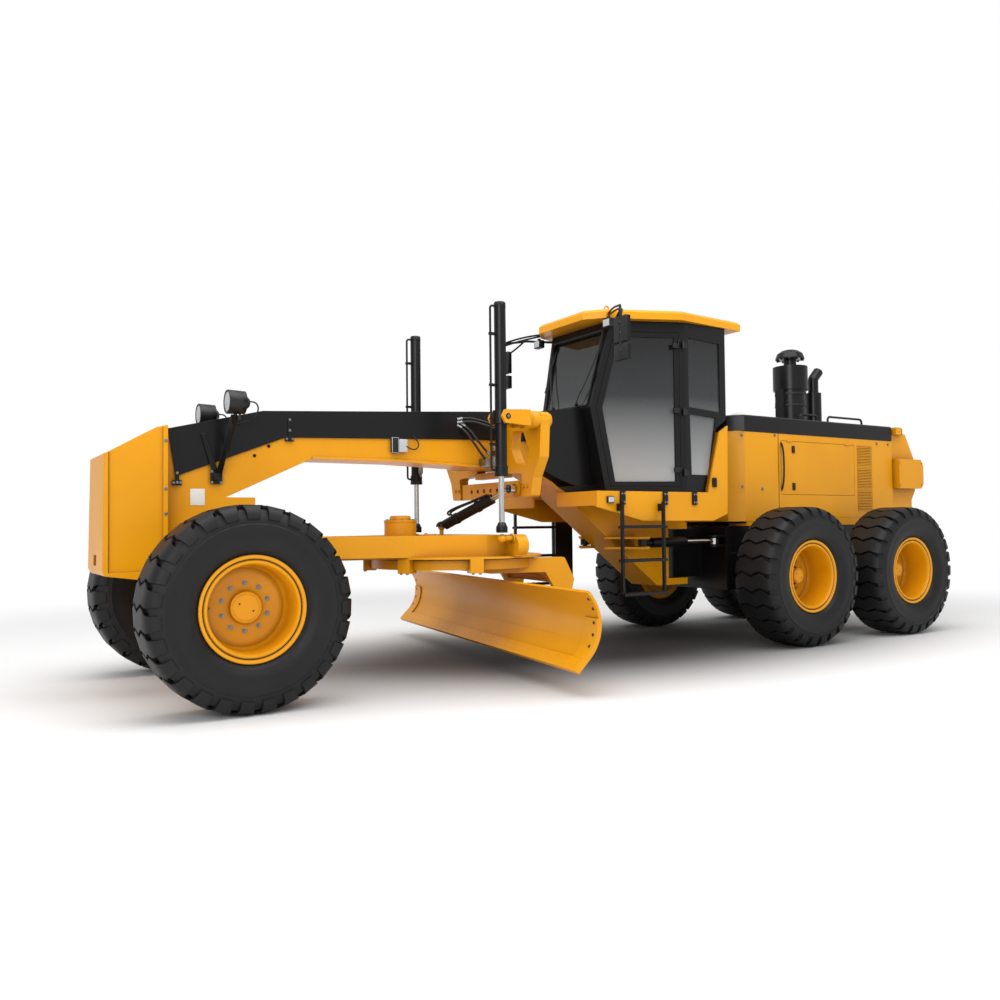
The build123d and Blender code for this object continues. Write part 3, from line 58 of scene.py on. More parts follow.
forward = Vector((-math.sin(YAW) * math.cos(PITCH), -math.cos(YAW) * math.cos(PITCH), math.sin(PITCH)))
level = forward.cross(Vector((0, 0, 1))).normalized()
upright = level.cross(forward)
right = level * math.cos(ROLL) + upright * math.sin(ROLL)
top = upright * math.cos(ROLL) - level * math.sin(ROLL)
camera = bpy.data.objects.new("camera", bpy.data.cameras.new("camera"))
camera.matrix_world = Matrix.Translation(CAMERA_AT) @ Matrix((right, top, -forward)).transposed().to_4x4()
camera.data.lens = LENS
camera.data.sensor_width = 36
camera.data.clip_end = 400
scene.collection.objects.link(camera)
scene.camera = camera
scene.view_settings.view_transform = "Standard"


def linear(code):
    """An sRGB hex colour, such as 'e9a41b', as linear red, green, blue and alpha."""
    parts = [int(code[i:i + 2], 16) / 255 for i in (0, 2, 4)]
    return [c / 12.92 if c <= 0.04045 else ((c + 0.055) / 1.055) ** 2.4 for c in parts] + [1]


def add(tree, kind, values=None, links=None):
    """Add one node: values are its properties and sockets, links say which output feeds each socket."""
    made = tree.nodes.new(kind)
    for key, value in (values or {}).items():
        if isinstance(key, int) or key in made.inputs:
            made.inputs[key].default_value = value
        else:
            setattr(made, key, value)
    for socket, (source, output) in (links or {}).items():
        tree.links.new(source.outputs[output], made.inputs[socket])
    return made


def new_material(name):
    """An empty node material; returns it, its tree and its Principled shader."""
    material = bpy.data.materials.new(name)
    material.use_nodes = True
    return material, material.node_tree, material.node_tree.nodes["Principled BSDF"]


world = bpy.data.worlds.new("hall")
scene.world = world
world.use_nodes = True
sky = world.node_tree
backdrop = add(sky, "ShaderNodeBackground", {"Color": (1, 1, 1, 1), "Strength": 1.0})
ambient = add(sky, "ShaderNodeBackground", {"Color": (1, 1, 1, 1), "Strength": 0.62})
rays = add(sky, "ShaderNodeLightPath")
seen = add(sky, "ShaderNodeMath", {"operation": "MAXIMUM"},
           {0: (rays, "Is Camera Ray"), 1: (rays, "Is Transmission Ray")})
choice = add(sky, "ShaderNodeMixShader", None,
             {0: (seen, "Value"), 1: (ambient, "Background"), 2: (backdrop, "Background")})
sky.links.new(choice.outputs["Shader"], sky.nodes["World Output"].inputs["Surface"])


def area_light(name, place, aim, size, power):
    """A flat lamp at a place, facing another."""
    data = bpy.data.lights.new(name, "AREA")
    data.shape, data.size, data.size_y, data.energy = "RECTANGLE", size[0], size[1], power
    lamp = bpy.data.objects.new(name, data)
    lamp.location = place
    lamp.rotation_euler = (Vector(aim) - Vector(place)).to_track_quat("-Z", "Y").to_euler()
    scene.collection.objects.link(lamp)


area_light("ceiling", (1.5, 2.5, 9), (0, 0, 0.5), (14, 8), 900)
area_light("front_side", (9.5, 9, 5), (2, 0, 1.2), (6, 4), 330)

# Painted concrete, almost white, with a painted shadow that darkens it where the machine stands; it fades
# into the walls.
floor_paint, tree, shader = new_material("painted_concrete")
spot = add(tree, "ShaderNodeNewGeometry")
oval = add(tree, "ShaderNodeVectorMath", {"operation": "MULTIPLY", 1: (1 / 5.6, 1 / 2.9, 0)},
           {0: (spot, "Position")})
away = add(tree, "ShaderNodeVectorMath", {"operation": "LENGTH"}, {0: (oval, "Vector")})
# Painted shadow: the floor's colour falls from near white to near black towards the middle of the machine's
# footprint.
painted_shadow = add(tree, "ShaderNodeMapRange",
              {"From Min": 0.15, "From Max": 1.15, "To Min": 0.035, "To Max": 0.90,
               "interpolation_type": "SMOOTHERSTEP"}, {"Value": (away, "Value")})
tree.links.new(painted_shadow.outputs["Result"], shader.inputs["Base Color"])
shader.inputs["Roughness"].default_value = 0.75
glow = add(tree, "ShaderNodeEmission", {"Color": (1, 1, 1, 1), "Strength": 1.0})
far = add(tree, "ShaderNodeNewGeometry")
reach = add(tree, "ShaderNodeVectorMath", {"operation": "LENGTH"}, {0: (far, "Position")})
fade = add(tree, "ShaderNodeMapRange",
           {"From Min": 6.0, "From Max": 11.0, "interpolation_type": "SMOOTHSTEP"},
           {"Value": (reach, "Value")})
blend = add(tree, "ShaderNodeMixShader", None,
            {0: (fade, "Result"), 1: (shader, "BSDF"), 2: (glow, "Emission")})
tree.links.new(blend.outputs["Shader"], tree.nodes["Material Output"].inputs["Surface"])
FLOOR_HALF = 60
ground = bpy.data.meshes.new("floor")
ground.from_pydata([(-FLOOR_HALF, -FLOOR_HALF, 0), (FLOOR_HALF, -FLOOR_HALF, 0),
                    (FLOOR_HALF, FLOOR_HALF, 0), (-FLOOR_HALF, FLOOR_HALF, 0)], [], [(0, 1, 2, 3)])
ground.materials.append(floor_paint)
ground_piece = bpy.data.objects.new("floor", ground)
scene.collection.objects.link(ground_piece)

# ---------------------------------------------------------------- painted steel structure
# Two-pack enamel sprayed over welded plate. The coat is glossy, its flow leaves a faint orange
# peel, plate edges catch the light, and painted shade darkens its corners, creases and hollows.
YELLOW, YELLOW_DEEP = "e79d06", "cf8402"
PEEL_SIZE = 0.018            # width of an orange-peel dimple, drawn coarse enough to show
EDGE_ROUND = 0.006           # round that paint leaves on a plate's edge


def enamel(name, colour, deep, roughness, coat):
    """Sprayed enamel: its colour, the deeper tone it drifts to, its roughness and its coat."""
    material, tree, shader = new_material(name)
    place = add(tree, "ShaderNodeTexCoord")
    cloud = add(tree, "ShaderNodeTexNoise", {"Scale": 1.3, "Detail": 3}, {"Vector": (place, "Object")})
    tone = add(tree, "ShaderNodeMix", {"data_type": "RGBA", 6: linear(colour), 7: linear(deep)})
    spread = add(tree, "ShaderNodeMapRange", {"From Min": 0.42, "From Max": 0.75, "To Max": 0.35},
                 {"Value": (cloud, "Fac")})
    tree.links.new(spread.outputs["Result"], tone.inputs[0])
    # Painted shade: ambient occlusion darkens the enamel's colour in corners, creases and hollows.
    corner = add(tree, "ShaderNodeAmbientOcclusion", {"samples": 4, "Distance": 0.22})
    painted_shade = add(tree, "ShaderNodeMapRange",
               {"From Min": 0.35, "From Max": 0.85, "To Min": 0.45, "To Max": 1.0}, {"Value": (corner, "AO")})
    shade = add(tree, "ShaderNodeMix", {"data_type": "RGBA", "blend_type": "MULTIPLY", 0: 1.0},
                {6: (tone, 2), 7: (painted_shade, "Result")})
    tree.links.new(shade.outputs[2], shader.inputs["Base Color"])
    peel = add(tree, "ShaderNodeTexNoise", {"Scale": 1 / PEEL_SIZE, "Detail": 1},
               {"Vector": (place, "Object")})
    round_edge = add(tree, "ShaderNodeBevel", {"samples": 4, "Radius": EDGE_ROUND})
    bump = add(tree, "ShaderNodeBump", {"Strength": 0.05, "Distance": 0.002},
               {"Height": (peel, "Fac"), "Normal": (round_edge, "Normal")})
    tree.links.new(bump.outputs["Normal"], shader.inputs["Normal"])
    mist = add(tree, "ShaderNodeMapRange", {"To Min": roughness - 0.05, "To Max": roughness + 0.10},
               {"Value": (cloud, "Fac")})
    tree.links.new(mist.outputs["Result"], shader.inputs["Roughness"])
    shader.inputs["Specular IOR Level"].default_value = 0.28
    shader.inputs["Coat Weight"].default_value = coat
    shader.inputs["Coat Roughness"].default_value = 0.12
    return material


yellow_enamel = enamel("yellow_enamel", YELLOW, YELLOW_DEEP, 0.36, 0.10)
black_enamel = enamel("black_enamel", "0f0f11", "0a0a0b", 0.30, 0.10)


def wavering(name, colour, across, detail, low, high):
    """A surface of uneven shine: its patches in a metre, their detail and its two roughnesses."""
    material, tree, shader = new_material(name)
    place = add(tree, "ShaderNodeTexCoord")
    patch = add(tree, "ShaderNodeTexNoise", {"Scale": across, "Detail": detail},
                {"Vector": (place, "Object")})
    sheen = add(tree, "ShaderNodeMapRange", {"To Min": low, "To Max": high}, {"Value": (patch, "Fac")})
    tree.links.new(sheen.outputs["Result"], shader.inputs["Roughness"])
    shader.inputs["Base Color"].default_value = linear(colour)
    return material


# Hard-chromed rod: a mirror finish ground round and round. Like every grain below it is drawn a
# few millimetres wide, coarser than the real one, so that it shows.
chrome_rod = wavering("hard_chrome", "d9dadc", 240, 1, 0.10, 0.22)
chrome_rod.node_tree.nodes["Principled BSDF"].inputs["Metallic"].default_value = 1


def grained(name, colour, roughness, across, detail, strength, depth):
    """A dull dark surface with a raised grain: its bumps in a metre, their detail, strength and height."""
    material, tree, shader = new_material(name)
    place = add(tree, "ShaderNodeTexCoord")
    bumps = add(tree, "ShaderNodeTexNoise", {"Scale": across, "Detail": detail},
                {"Vector": (place, "Object")})
    raised = add(tree, "ShaderNodeBump", {"Strength": strength, "Distance": depth},
                 {"Height": (bumps, "Fac")})
    tree.links.new(raised.outputs["Normal"], shader.inputs["Normal"])
    shader.inputs["Base Color"].default_value = linear(colour)
    shader.inputs["Roughness"].default_value = roughness
    return material


# Raw iron castings of the engine, painted dull black and never polished.
cast_iron = grained("painted_casting", "2b2b2c", 0.7, 160, 4, 0.4, 0.002)

# Woven seat cloth over moulded foam: a fine plain weave with a soft sheen.
seat_cloth, tree, shader = new_material("woven_polyester")
place = add(tree, "ShaderNodeTexCoord")
warp = add(tree, "ShaderNodeTexWave", {"Scale": 60, "Distortion": 0.4, "bands_direction": "X"},
           {"Vector": (place, "Object")})
weft = add(tree, "ShaderNodeTexWave", {"Scale": 60, "Distortion": 0.4, "bands_direction": "Z"},
           {"Vector": (place, "Object")})
weave = add(tree, "ShaderNodeMath", {"operation": "MULTIPLY"}, {0: (warp, "Fac"), 1: (weft, "Fac")})
nap = add(tree, "ShaderNodeBump", {"Strength": 0.5, "Distance": 0.003}, {"Height": (weave, "Value")})
tree.links.new(nap.outputs["Normal"], shader.inputs["Normal"])
shader.inputs["Base Color"].default_value = linear("26272b")
shader.inputs["Roughness"].default_value = 0.85
shader.inputs["Sheen Weight"].default_value = 0.3

# Toughened glass coloured with a painted reflection of the hall: pale low down, near black under the roof.
glass_with_painted_reflection, tree, shader = new_material("toughened_glass_with_painted_reflection")
place = add(tree, "ShaderNodeNewGeometry")
split = add(tree, "ShaderNodeSeparateXYZ", None, {"Vector": (place, "Position")})
glass_low, glass_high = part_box("cab_glass")
height = add(tree, "ShaderNodeMapRange", {"From Min": glass_low.z, "From Max": glass_high.z},
             {"Value": (split, "Z")})
# Painted reflection: the glass's colour ramps with height from pale grey to near black.
painted_reflection = add(tree, "ShaderNodeValToRGB", None, {"Fac": (height, "Result")})
ramp = painted_reflection.color_ramp
ramp.elements[0].color = linear("a9abac")
ramp.elements[1].color = linear("050506")
middle = ramp.elements.new(0.55)
middle.color = linear("303234")
tree.links.new(painted_reflection.outputs["Color"], shader.inputs["Base Color"])
cover = add(tree, "ShaderNodeMapRange", {"To Min": 0.80, "To Max": 0.93}, {"Value": (height, "Result")})
tree.links.new(cover.outputs["Result"], shader.inputs["Alpha"])
shader.inputs["Roughness"].default_value = 0.04
shader.inputs["Coat Weight"].default_value = 0.4

FINISH = {"yellow_paint": yellow_enamel, "black_paint": black_enamel, "bare_steel": chrome_rod,
          "dark_metal": cast_iron, "seat_fabric": seat_cloth, "window_glass": glass_with_painted_reflection}
slots = {part["node"]: part["material_slot"] for part in frame["record"]["subparts"]}
for name, node in nodes.items():
    if slots[name] in FINISH:
        node.data.materials.clear()
        node.data.materials.append(FINISH[slots[name]])


def finished_mesh(name, bm, finishes, sharp):
    """Mesh of a bmesh with its finishes, smooth but for edges sharper than an angle in degrees."""
    bmesh.ops.recalc_face_normals(bm, faces=bm.faces)
    mesh = bpy.data.meshes.new(name)
    bm.to_mesh(mesh)
    bm.free()
    for finish in finishes:
        mesh.materials.append(finish)
    mesh.shade_smooth()
    mesh.set_sharp_from_angle(angle=math.radians(sharp))
    return mesh


def piece_from(name, bm, finishes, body, sharp=35):
    """Link a bmesh as a piece that rides on a body, with one finish or a list of them."""
    finishes = finishes if isinstance(finishes, list) else [finishes]
    return place_piece(name, finished_mesh(name, bm, finishes, sharp), body)


def place_piece(name, shape, body):
    """Link a mesh or curve as a piece that rides on a body."""
    made = bpy.data.objects.new(name, shape)
    scene.collection.objects.link(made)
    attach(made, body)
    return made


def lathe(bm, line, centre, axis, steps=24, finish=0, closed=False):
    """Turn (distance along the axis, radius) points about an axis; a radius of 0 closes an end."""
    axis = Vector(axis).normalized()
    side = axis.orthogonal().normalized()
    other = axis.cross(side)
    rings = []
    for along, radius in line:
        middle = Vector(centre) + axis * along
        angles = [2 * math.pi * i / steps for i in range(steps if radius else 1)]
        spokes = [side * math.cos(a) + other * math.sin(a) for a in angles]
        rings.append([bm.verts.new(middle + spoke * radius) for spoke in spokes])
    for a, b in zip(rings, rings[1:] + (rings[:1] if closed else [])):
        for i in range(steps):
            j = (i + 1) % steps
            corners = dict.fromkeys((a[i % len(a)], a[j % len(a)], b[j % len(b)], b[i % len(b)]))
            bm.faces.new(list(corners)).material_index = finish


def rod(bm, start, end, radius, steps=12, finish=0):
    """Round bar with lightly broken ends."""
    start, end = Vector(start), Vector(end)
    length, edge = (end - start).length, radius * 0.12
    line = [(0, 0), (0, radius - edge), (edge, radius)]
    line += [(length - edge, radius), (length, radius - edge), (length, 0)]
    lathe(bm, line, start, end - start, steps, finish)


def slab(bm, low, high, edge=0.004, finish=0, turn=None):
    """Block between two corners with rounded edges; turn is a matrix about its own middle."""
    low, high = Vector(low), Vector(high)
    size = high - low
    place = Matrix.Translation((low + high) / 2) @ (turn or Matrix()) @ Matrix.Diagonal((*size, 1))
    made = bmesh.ops.create_cube(bm, size=1, matrix=place)["verts"]
    faces = {f for v in made for f in v.link_faces}
    for face in faces:
        face.material_index = finish
    if edge:
        edges = {e for f in faces for e in f.edges}
        bmesh.ops.bevel(bm, geom=list(edges), offset=edge, segments=2, profile=0.6, affect="EDGES")


def plate(bm, corners, thick, finish=0, edge=0.003):
    """Flat plate cut to an outline of points, with its thickness along the outline's normal."""
    base = bm.faces.new([bm.verts.new(Vector(c)) for c in corners])
    base.normal_update()
    push = base.normal * thick
    grown = bmesh.ops.extrude_face_region(bm, geom=[base])["geom"]
    bmesh.ops.translate(bm, vec=push, verts=[g for g in grown if isinstance(g, bmesh.types.BMVert)])
    top = [g for g in grown if isinstance(g, bmesh.types.BMFace)][0]
    rims = {e for f in (base, top) if f.is_valid for e in f.edges}
    for face in {f for e in rims for f in e.link_faces}:
        face.material_index = finish
    if edge:
        bmesh.ops.bevel(bm, geom=list(rims), offset=edge, segments=1, affect="EDGES")


def bolts(bm, places, axis, across=0.026, finish=0, nut=False):
    """Hexagon heads on washers; a nut shows its stud's rounded end."""
    r, tall = across / 2, across * 0.55
    for at in places:
        lathe(bm, [(0, r * 1.5), (across * 0.12, r * 1.5), (across * 0.12, r * 0.9)], at, axis, 16, finish)
        head = [(across * 0.1, r * 1.12), (tall * 0.85, r * 1.12), (tall, r * 0.92), (tall, 0)]
        lathe(bm, head, at, axis, 6, finish)
        if nut:
            stud = [(tall, r * 0.55), (tall + across * 0.28, r * 0.5), (tall + across * 0.38, 0)]
            lathe(bm, stud, at, axis, 12, finish)


def bolt_piece(name, finish, body, slot, *sets):
    """A piece made only of bolts, from sets of their places, axis and width."""
    bm = bmesh.new()
    for places, axis, across in sets:
        bolts(bm, places, axis, across)
    piece_from(name, bm, finish, body)


def turned(name, line, centre, axis, steps, finish, body):
    """A piece that is one turned shape."""
    bm = bmesh.new()
    lathe(bm, line, centre, axis, steps)
    piece_from(name, bm, finish, body)


def pipe(name, points, radius, finish, body):
    """Bent tube or fixed hose along a few points."""
    curve = bpy.data.curves.new(name, "CURVE")
    curve.dimensions = "3D"
    curve.bevel_depth, curve.bevel_resolution, curve.resolution_u = radius, 3, 6
    curve.use_fill_caps = True
    line = curve.splines.new("NURBS")
    line.points.add(len(points) - 1)
    for point, place in zip(line.points, points):
        point.co = (*place, 1)
    line.order_u = 3
    line.use_endpoint_u = True
    curve.materials.append(finish)
    return place_piece(name, curve, body)


# ---------------------------------------------------------------- tyres
# Radial loader tyres of black natural rubber, moulded with wavy bars across the tread. The
# sidewalls are smooth with a few raised rings, and the bars' ends fall over the shoulders.
axle_middle = sum((Vector(corner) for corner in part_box("rim_front_left")), Vector()) / 2
TYRE_RADIUS = axle_middle.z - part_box("tyre_front_left")[0].z
BARS = 27
BAR_DEPTH = 0.034            # groove depth on the crown
GROOVE = 0.020               # groove width on the crown, wider on the shoulders
WAVE = 0.021                 # how far a bar's edge waves
WAVE_LENGTH = 0.215
TREAD_HALF = 0.206


def wave_at(y):
    """A zigzag between -1 and 1 across the tread."""
    t = (y / WAVE_LENGTH) % 1
    return 4 * abs(t - 0.5) - 1


# (y, radius) along the outside of the bars, from the crown over the shoulder and down the sidewall
shoulder = [(0.172, TYRE_RADIUS - 0.006), (TREAD_HALF, TYRE_RADIUS - 0.013), (0.232, TYRE_RADIUS - 0.034),
            (0.247, TYRE_RADIUS - 0.066), (0.253, TYRE_RADIUS - 0.102)]
crown_steps = [i * WAVE_LENGTH / 4 for i in range(-3, 4)]
bar_line = [(-y, r) for y, r in reversed(shoulder)] + [
    (y, TYRE_RADIUS - 0.005 * (y / TREAD_HALF) ** 2) for y in crown_steps] + shoulder


def sidewall(y_sign):
    """(y, radius) down one sidewall from under the bars to the bead."""
    points = [(0.206, TYRE_RADIUS - 0.040), (0.234, TYRE_RADIUS - 0.085), (0.2465, TYRE_RADIUS - 0.115),
              (0.2475, TYRE_RADIUS - 0.135), (0.2530, TYRE_RADIUS - 0.142), (0.2532, TYRE_RADIUS - 0.150),
              (0.2500, TYRE_RADIUS - 0.158), (0.2535, 0.520), (0.2480, 0.470), (0.2340, 0.430),
              (0.2290, 0.424), (0.2270, 0.416), (0.2170, 0.402), (0.1990, 0.390), (0.1890, 0.377),
              (0.1870, 0.340)]
    return [(y * y_sign, r) for y, r in points]


def tyre_mesh(material):
    """A turned carcass with its bars built one by one across the tread."""
    bm = bmesh.new()
    profile = [(y, r) for y, r in reversed(sidewall(-1))]
    profile += [(y, TYRE_RADIUS - BAR_DEPTH) for y in (-0.15, -0.05, 0.05, 0.15)] + sidewall(1)
    lathe(bm, profile, (0, 0, 0), (0, 1, 0), 108, closed=True)
    pitch = 2 * math.pi / BARS
    for bar in range(BARS):
        columns = []
        for y, r in bar_line:
            over = max(0.0, abs(y) - 0.15)
            half = pitch / 2 - (GROOVE + 0.34 * over) / 2 / TYRE_RADIUS
            if abs(y) > TREAD_HALF:
                half *= 1 - 1.6 * (abs(y) - TREAD_HALF)
            middle = bar * pitch + WAVE / TYRE_RADIUS * wave_at(min(abs(y), TREAD_HALF))
            sink = BAR_DEPTH + 0.004
            inward = Vector((0, 0, -1))
            if abs(y) >= TREAD_HALF:
                inward = Vector((0, -math.copysign(1, y), -0.25)).normalized()
            column = []
            for spread, sunk in ((-1, sink), (-0.94, 0), (0.94, 0), (1, sink)):
                angle = middle + half * spread
                out, rise = y + inward.y * sunk, r + inward.z * sunk
                column.append(bm.verts.new((rise * math.sin(angle), out, rise * math.cos(angle))))
            columns.append(column)
        for a, b in zip(columns, columns[1:]):
            for i in range(3):
                bm.faces.new((a[i], a[i + 1], b[i + 1], b[i]))
        for end in (columns[0], columns[-1]):
            bm.faces.new(end)
    return finished_mesh("tyre", bm, [material], 32)


# Cured rubber: near black, with a faint bloom and a fine skin from the mould.
tyre_rubber, tree, shader = new_material("natural_rubber")
place = add(tree, "ShaderNodeTexCoord")
bloom = add(tree, "ShaderNodeTexNoise", {"Scale": 5, "Detail": 5}, {"Vector": (place, "Object")})
tone = add(tree, "ShaderNodeMix", {"data_type": "RGBA", 6: linear("0e0f10"), 7: linear("1c1c1d")},
           {0: (bloom, "Fac")})
tree.links.new(tone.outputs[2], shader.inputs["Base Color"])
skin = add(tree, "ShaderNodeTexNoise", {"Scale": 220, "Detail": 2}, {"Vector": (place, "Object")})
soft_edge = add(tree, "ShaderNodeBevel", {"samples": 4, "Radius": 0.005})
texture = add(tree, "ShaderNodeBump", {"Strength": 0.15, "Distance": 0.001},
              {"Height": (skin, "Fac"), "Normal": (soft_edge, "Normal")})
tree.links.new(texture.outputs["Normal"], shader.inputs["Normal"])
shader.inputs["Roughness"].default_value = 0.5
shader.inputs["Specular IOR Level"].default_value = 0.3

tyre_shape = tyre_mesh(tyre_rubber)
WHEELS = [n[len("tyre_"):] for n in nodes if n.startswith("tyre_")]


def wheel_place(name):
    """A wheel's middle, turned so that its outer face looks away from the machine."""
    low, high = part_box("rim_" + name)
    middle = (low + high) / 2
    side = 0 if middle.y > 0 else math.pi
    return Matrix.Translation(middle) @ Matrix.Rotation(side, 4, "Z")


def on_wheel(kind, name, shape, replaced):
    """Put a tyre or a rim on its wheel, in place of the plain one of the frame."""
    made = place_piece(kind + "_" + name, shape, "wheel_" + name)
    made.matrix_world = wheel_place(name)
    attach(made, "wheel_" + name)
    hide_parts(replaced + "_" + name)


for name in WHEELS:
    on_wheel("tread_tyre", name, tyre_shape, "tyre")

# ---------------------------------------------------------------- rims
# Rolled steel rims with a lock ring, a deep dish and ten plated wheel nuts, enamelled yellow.
# The driven wheels carry their disc far in, the steered ones nearly in the middle.

# Zinc plate on steel, whose spangle makes its shine uneven.
zinc_plate, tree, shader = new_material("zinc_plated_steel")
place = add(tree, "ShaderNodeTexCoord")
spangle = add(tree, "ShaderNodeTexVoronoi", {"Scale": 90}, {"Vector": (place, "Object")})
dull = add(tree, "ShaderNodeMapRange", {"To Min": 0.22, "To Max": 0.42}, {"Value": (spangle, "Distance")})
tree.links.new(dull.outputs["Result"], shader.inputs["Roughness"])
shader.inputs["Base Color"].default_value = linear("8f9192")
shader.inputs["Metallic"].default_value = 1

STUDS, STUD_CIRCLE = 10, 0.168
# (distance out from the rim's middle, radius) along its outer and its inner half
RIM_OUTER = [(0.186, 0.366), (0.191, 0.374), (0.197, 0.376), (0.2015, 0.371), (0.2015, 0.359), (0.197, 0.351),
             (0.188, 0.347), (0.184, 0.342), (0.186, 0.337), (0.193, 0.334), (0.1965, 0.327), (0.1955, 0.319),
             (0.187, 0.312), (0.160, 0.307), (0.080, 0.303)]
RIM_INNER = [(-0.150, 0.303), (-0.187, 0.312), (-0.1955, 0.325), (-0.1985, 0.345), (-0.2015, 0.365),
             (-0.197, 0.376), (-0.186, 0.372), (-0.182, 0.345), (-0.178, 0.333), (0.178, 0.333),
             (0.182, 0.350), (0.186, 0.366)]


def rim_mesh(name, disc, cap, cap_radius):
    """Mesh of one rim about its own middle: disc and cap say how far out the disc and hub cap stand."""
    bm = bmesh.new()
    hub = [(cap, 0), (cap, cap_radius * 0.80), (cap - 0.003, cap_radius * 0.83),
           (cap - 0.003, cap_radius * 0.88), (cap, cap_radius * 0.91), (cap - 0.004, cap_radius),
           (disc + 0.020, cap_radius),
           (disc + 0.010, cap_radius + 0.004), (disc + 0.001, cap_radius + 0.014), (disc, cap_radius + 0.020),
           (disc, 0.215), (disc + 0.007, 0.232), (disc + 0.009, 0.262), (disc + 0.004, 0.283),
           (disc + 0.020, 0.296), (disc + 0.050, 0.303)]
    back = [(-0.150, 0.303), (disc - 0.026, 0.300), (disc - 0.024, 0.285), (disc - 0.024, 0.070)]
    for line in (hub + RIM_OUTER[::-1], [RIM_OUTER[0]] + RIM_INNER[::-1][1:], back):
        lathe(bm, line, (0, 0, 0), (0, 1, 0), 72)
    # Painted shade: black discs on the cap stand where its two threaded lifting holes look dark.
    for angle in (0.5, 0.5 + math.pi):      # two threaded lifting holes in the cap
        at = Vector((math.cos(angle), 0, math.sin(angle))) * cap_radius * 0.5 + Vector((0, cap + 0.0006, 0))
        lathe(bm, [(0, 0.007), (0, 0)], at, (0, 1, 0), 10, 2)
    nuts = [Vector((math.cos(a), 0, math.sin(a))) * STUD_CIRCLE + Vector((0, disc, 0))
            for a in [2 * math.pi * (i + 0.5) / STUDS for i in range(STUDS)]]
    bolts(bm, nuts, (0, 1, 0), 0.023, finish=1, nut=True)
    rod(bm, (0.245, disc, 0), (0.262, disc + 0.060, 0), 0.006, 8, finish=1)    # tyre valve
    bmesh.ops.remove_doubles(bm, verts=bm.verts, dist=1e-5)
    return finished_mesh(name, bm, [yellow_enamel, zinc_plate, black_enamel], 35)


steered_rim = rim_mesh("steered_rim", -0.030, 0.016, 0.112)
driven_rim = rim_mesh("driven_rim", -0.110, 0.016, 0.078)
for name in WHEELS:
    shape = steered_rim if name.startswith("front") else driven_rim
    on_wheel("dished_rim", name, shape, "rim")

# ---------------------------------------------------------------- counterweight
# Folded plate box filled with iron, with its front, rear and top plates standing proud of its
# sides. Bolts through the rear plate hold it to the frame.
weight_low, weight_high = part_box("counterweight")
bm = bmesh.new()
for side in (1, -1):
    y = side * weight_high.y
    for z in (1.05, 1.397, 1.586, 1.95):
        bolts(bm, [(weight_low.x + 0.014, y - side * 0.001, z)], (0, side, 0), 0.018)
piece_from("counterweight_bolts", bm, zinc_plate, "front_frame")
bm = bmesh.new()
for side in (1, -1):                        # welded corner beads of the front plate
    x, y = weight_high.x - 0.052, side * 0.340
    rod(bm, (x, y, 0.965), (x, y, 1.85), 0.005, 8)
piece_from("counterweight_welds", bm, yellow_enamel, "front_frame")

# ---------------------------------------------------------------- headlamps
# Round black plastic work lamps with a clear fluted lens, on flat bars that stand on a plate
# with four bolts.
clear_lens, tree, shader = new_material("clear_polycarbonate")
place = add(tree, "ShaderNodeTexCoord")
flutes = add(tree, "ShaderNodeTexWave", {"Scale": 26, "bands_direction": "Y"}, {"Vector": (place, "Object")})
ribs = add(tree, "ShaderNodeBump", {"Strength": 0.5, "Distance": 0.004}, {"Height": (flutes, "Fac")})
tree.links.new(ribs.outputs["Normal"], shader.inputs["Normal"])
shader.inputs["Base Color"].default_value = linear("b9bec2")
shader.inputs["Roughness"].default_value = 0.12
shader.inputs["Coat Weight"].default_value = 0.6

# Moulded polypropylene with a leather grain that takes the shine off the black.
moulded_black = grained("moulded_polypropylene", "101012", 0.45, 300, 2, 0.3, 0.001)

def on_side(side, points):
    """Points drawn for the left side, mirrored to the right where side is -1."""
    return [(x, side * y, z) for x, y, z in points]


def mirrored(side, low, high):
    """The lowest and highest corners of a block drawn for the left side, mirrored where side is -1."""
    a, b = on_side(side, (low, high))
    return (a[0], min(a[1], b[1]), a[2]), (b[0], max(a[1], b[1]), b[2])


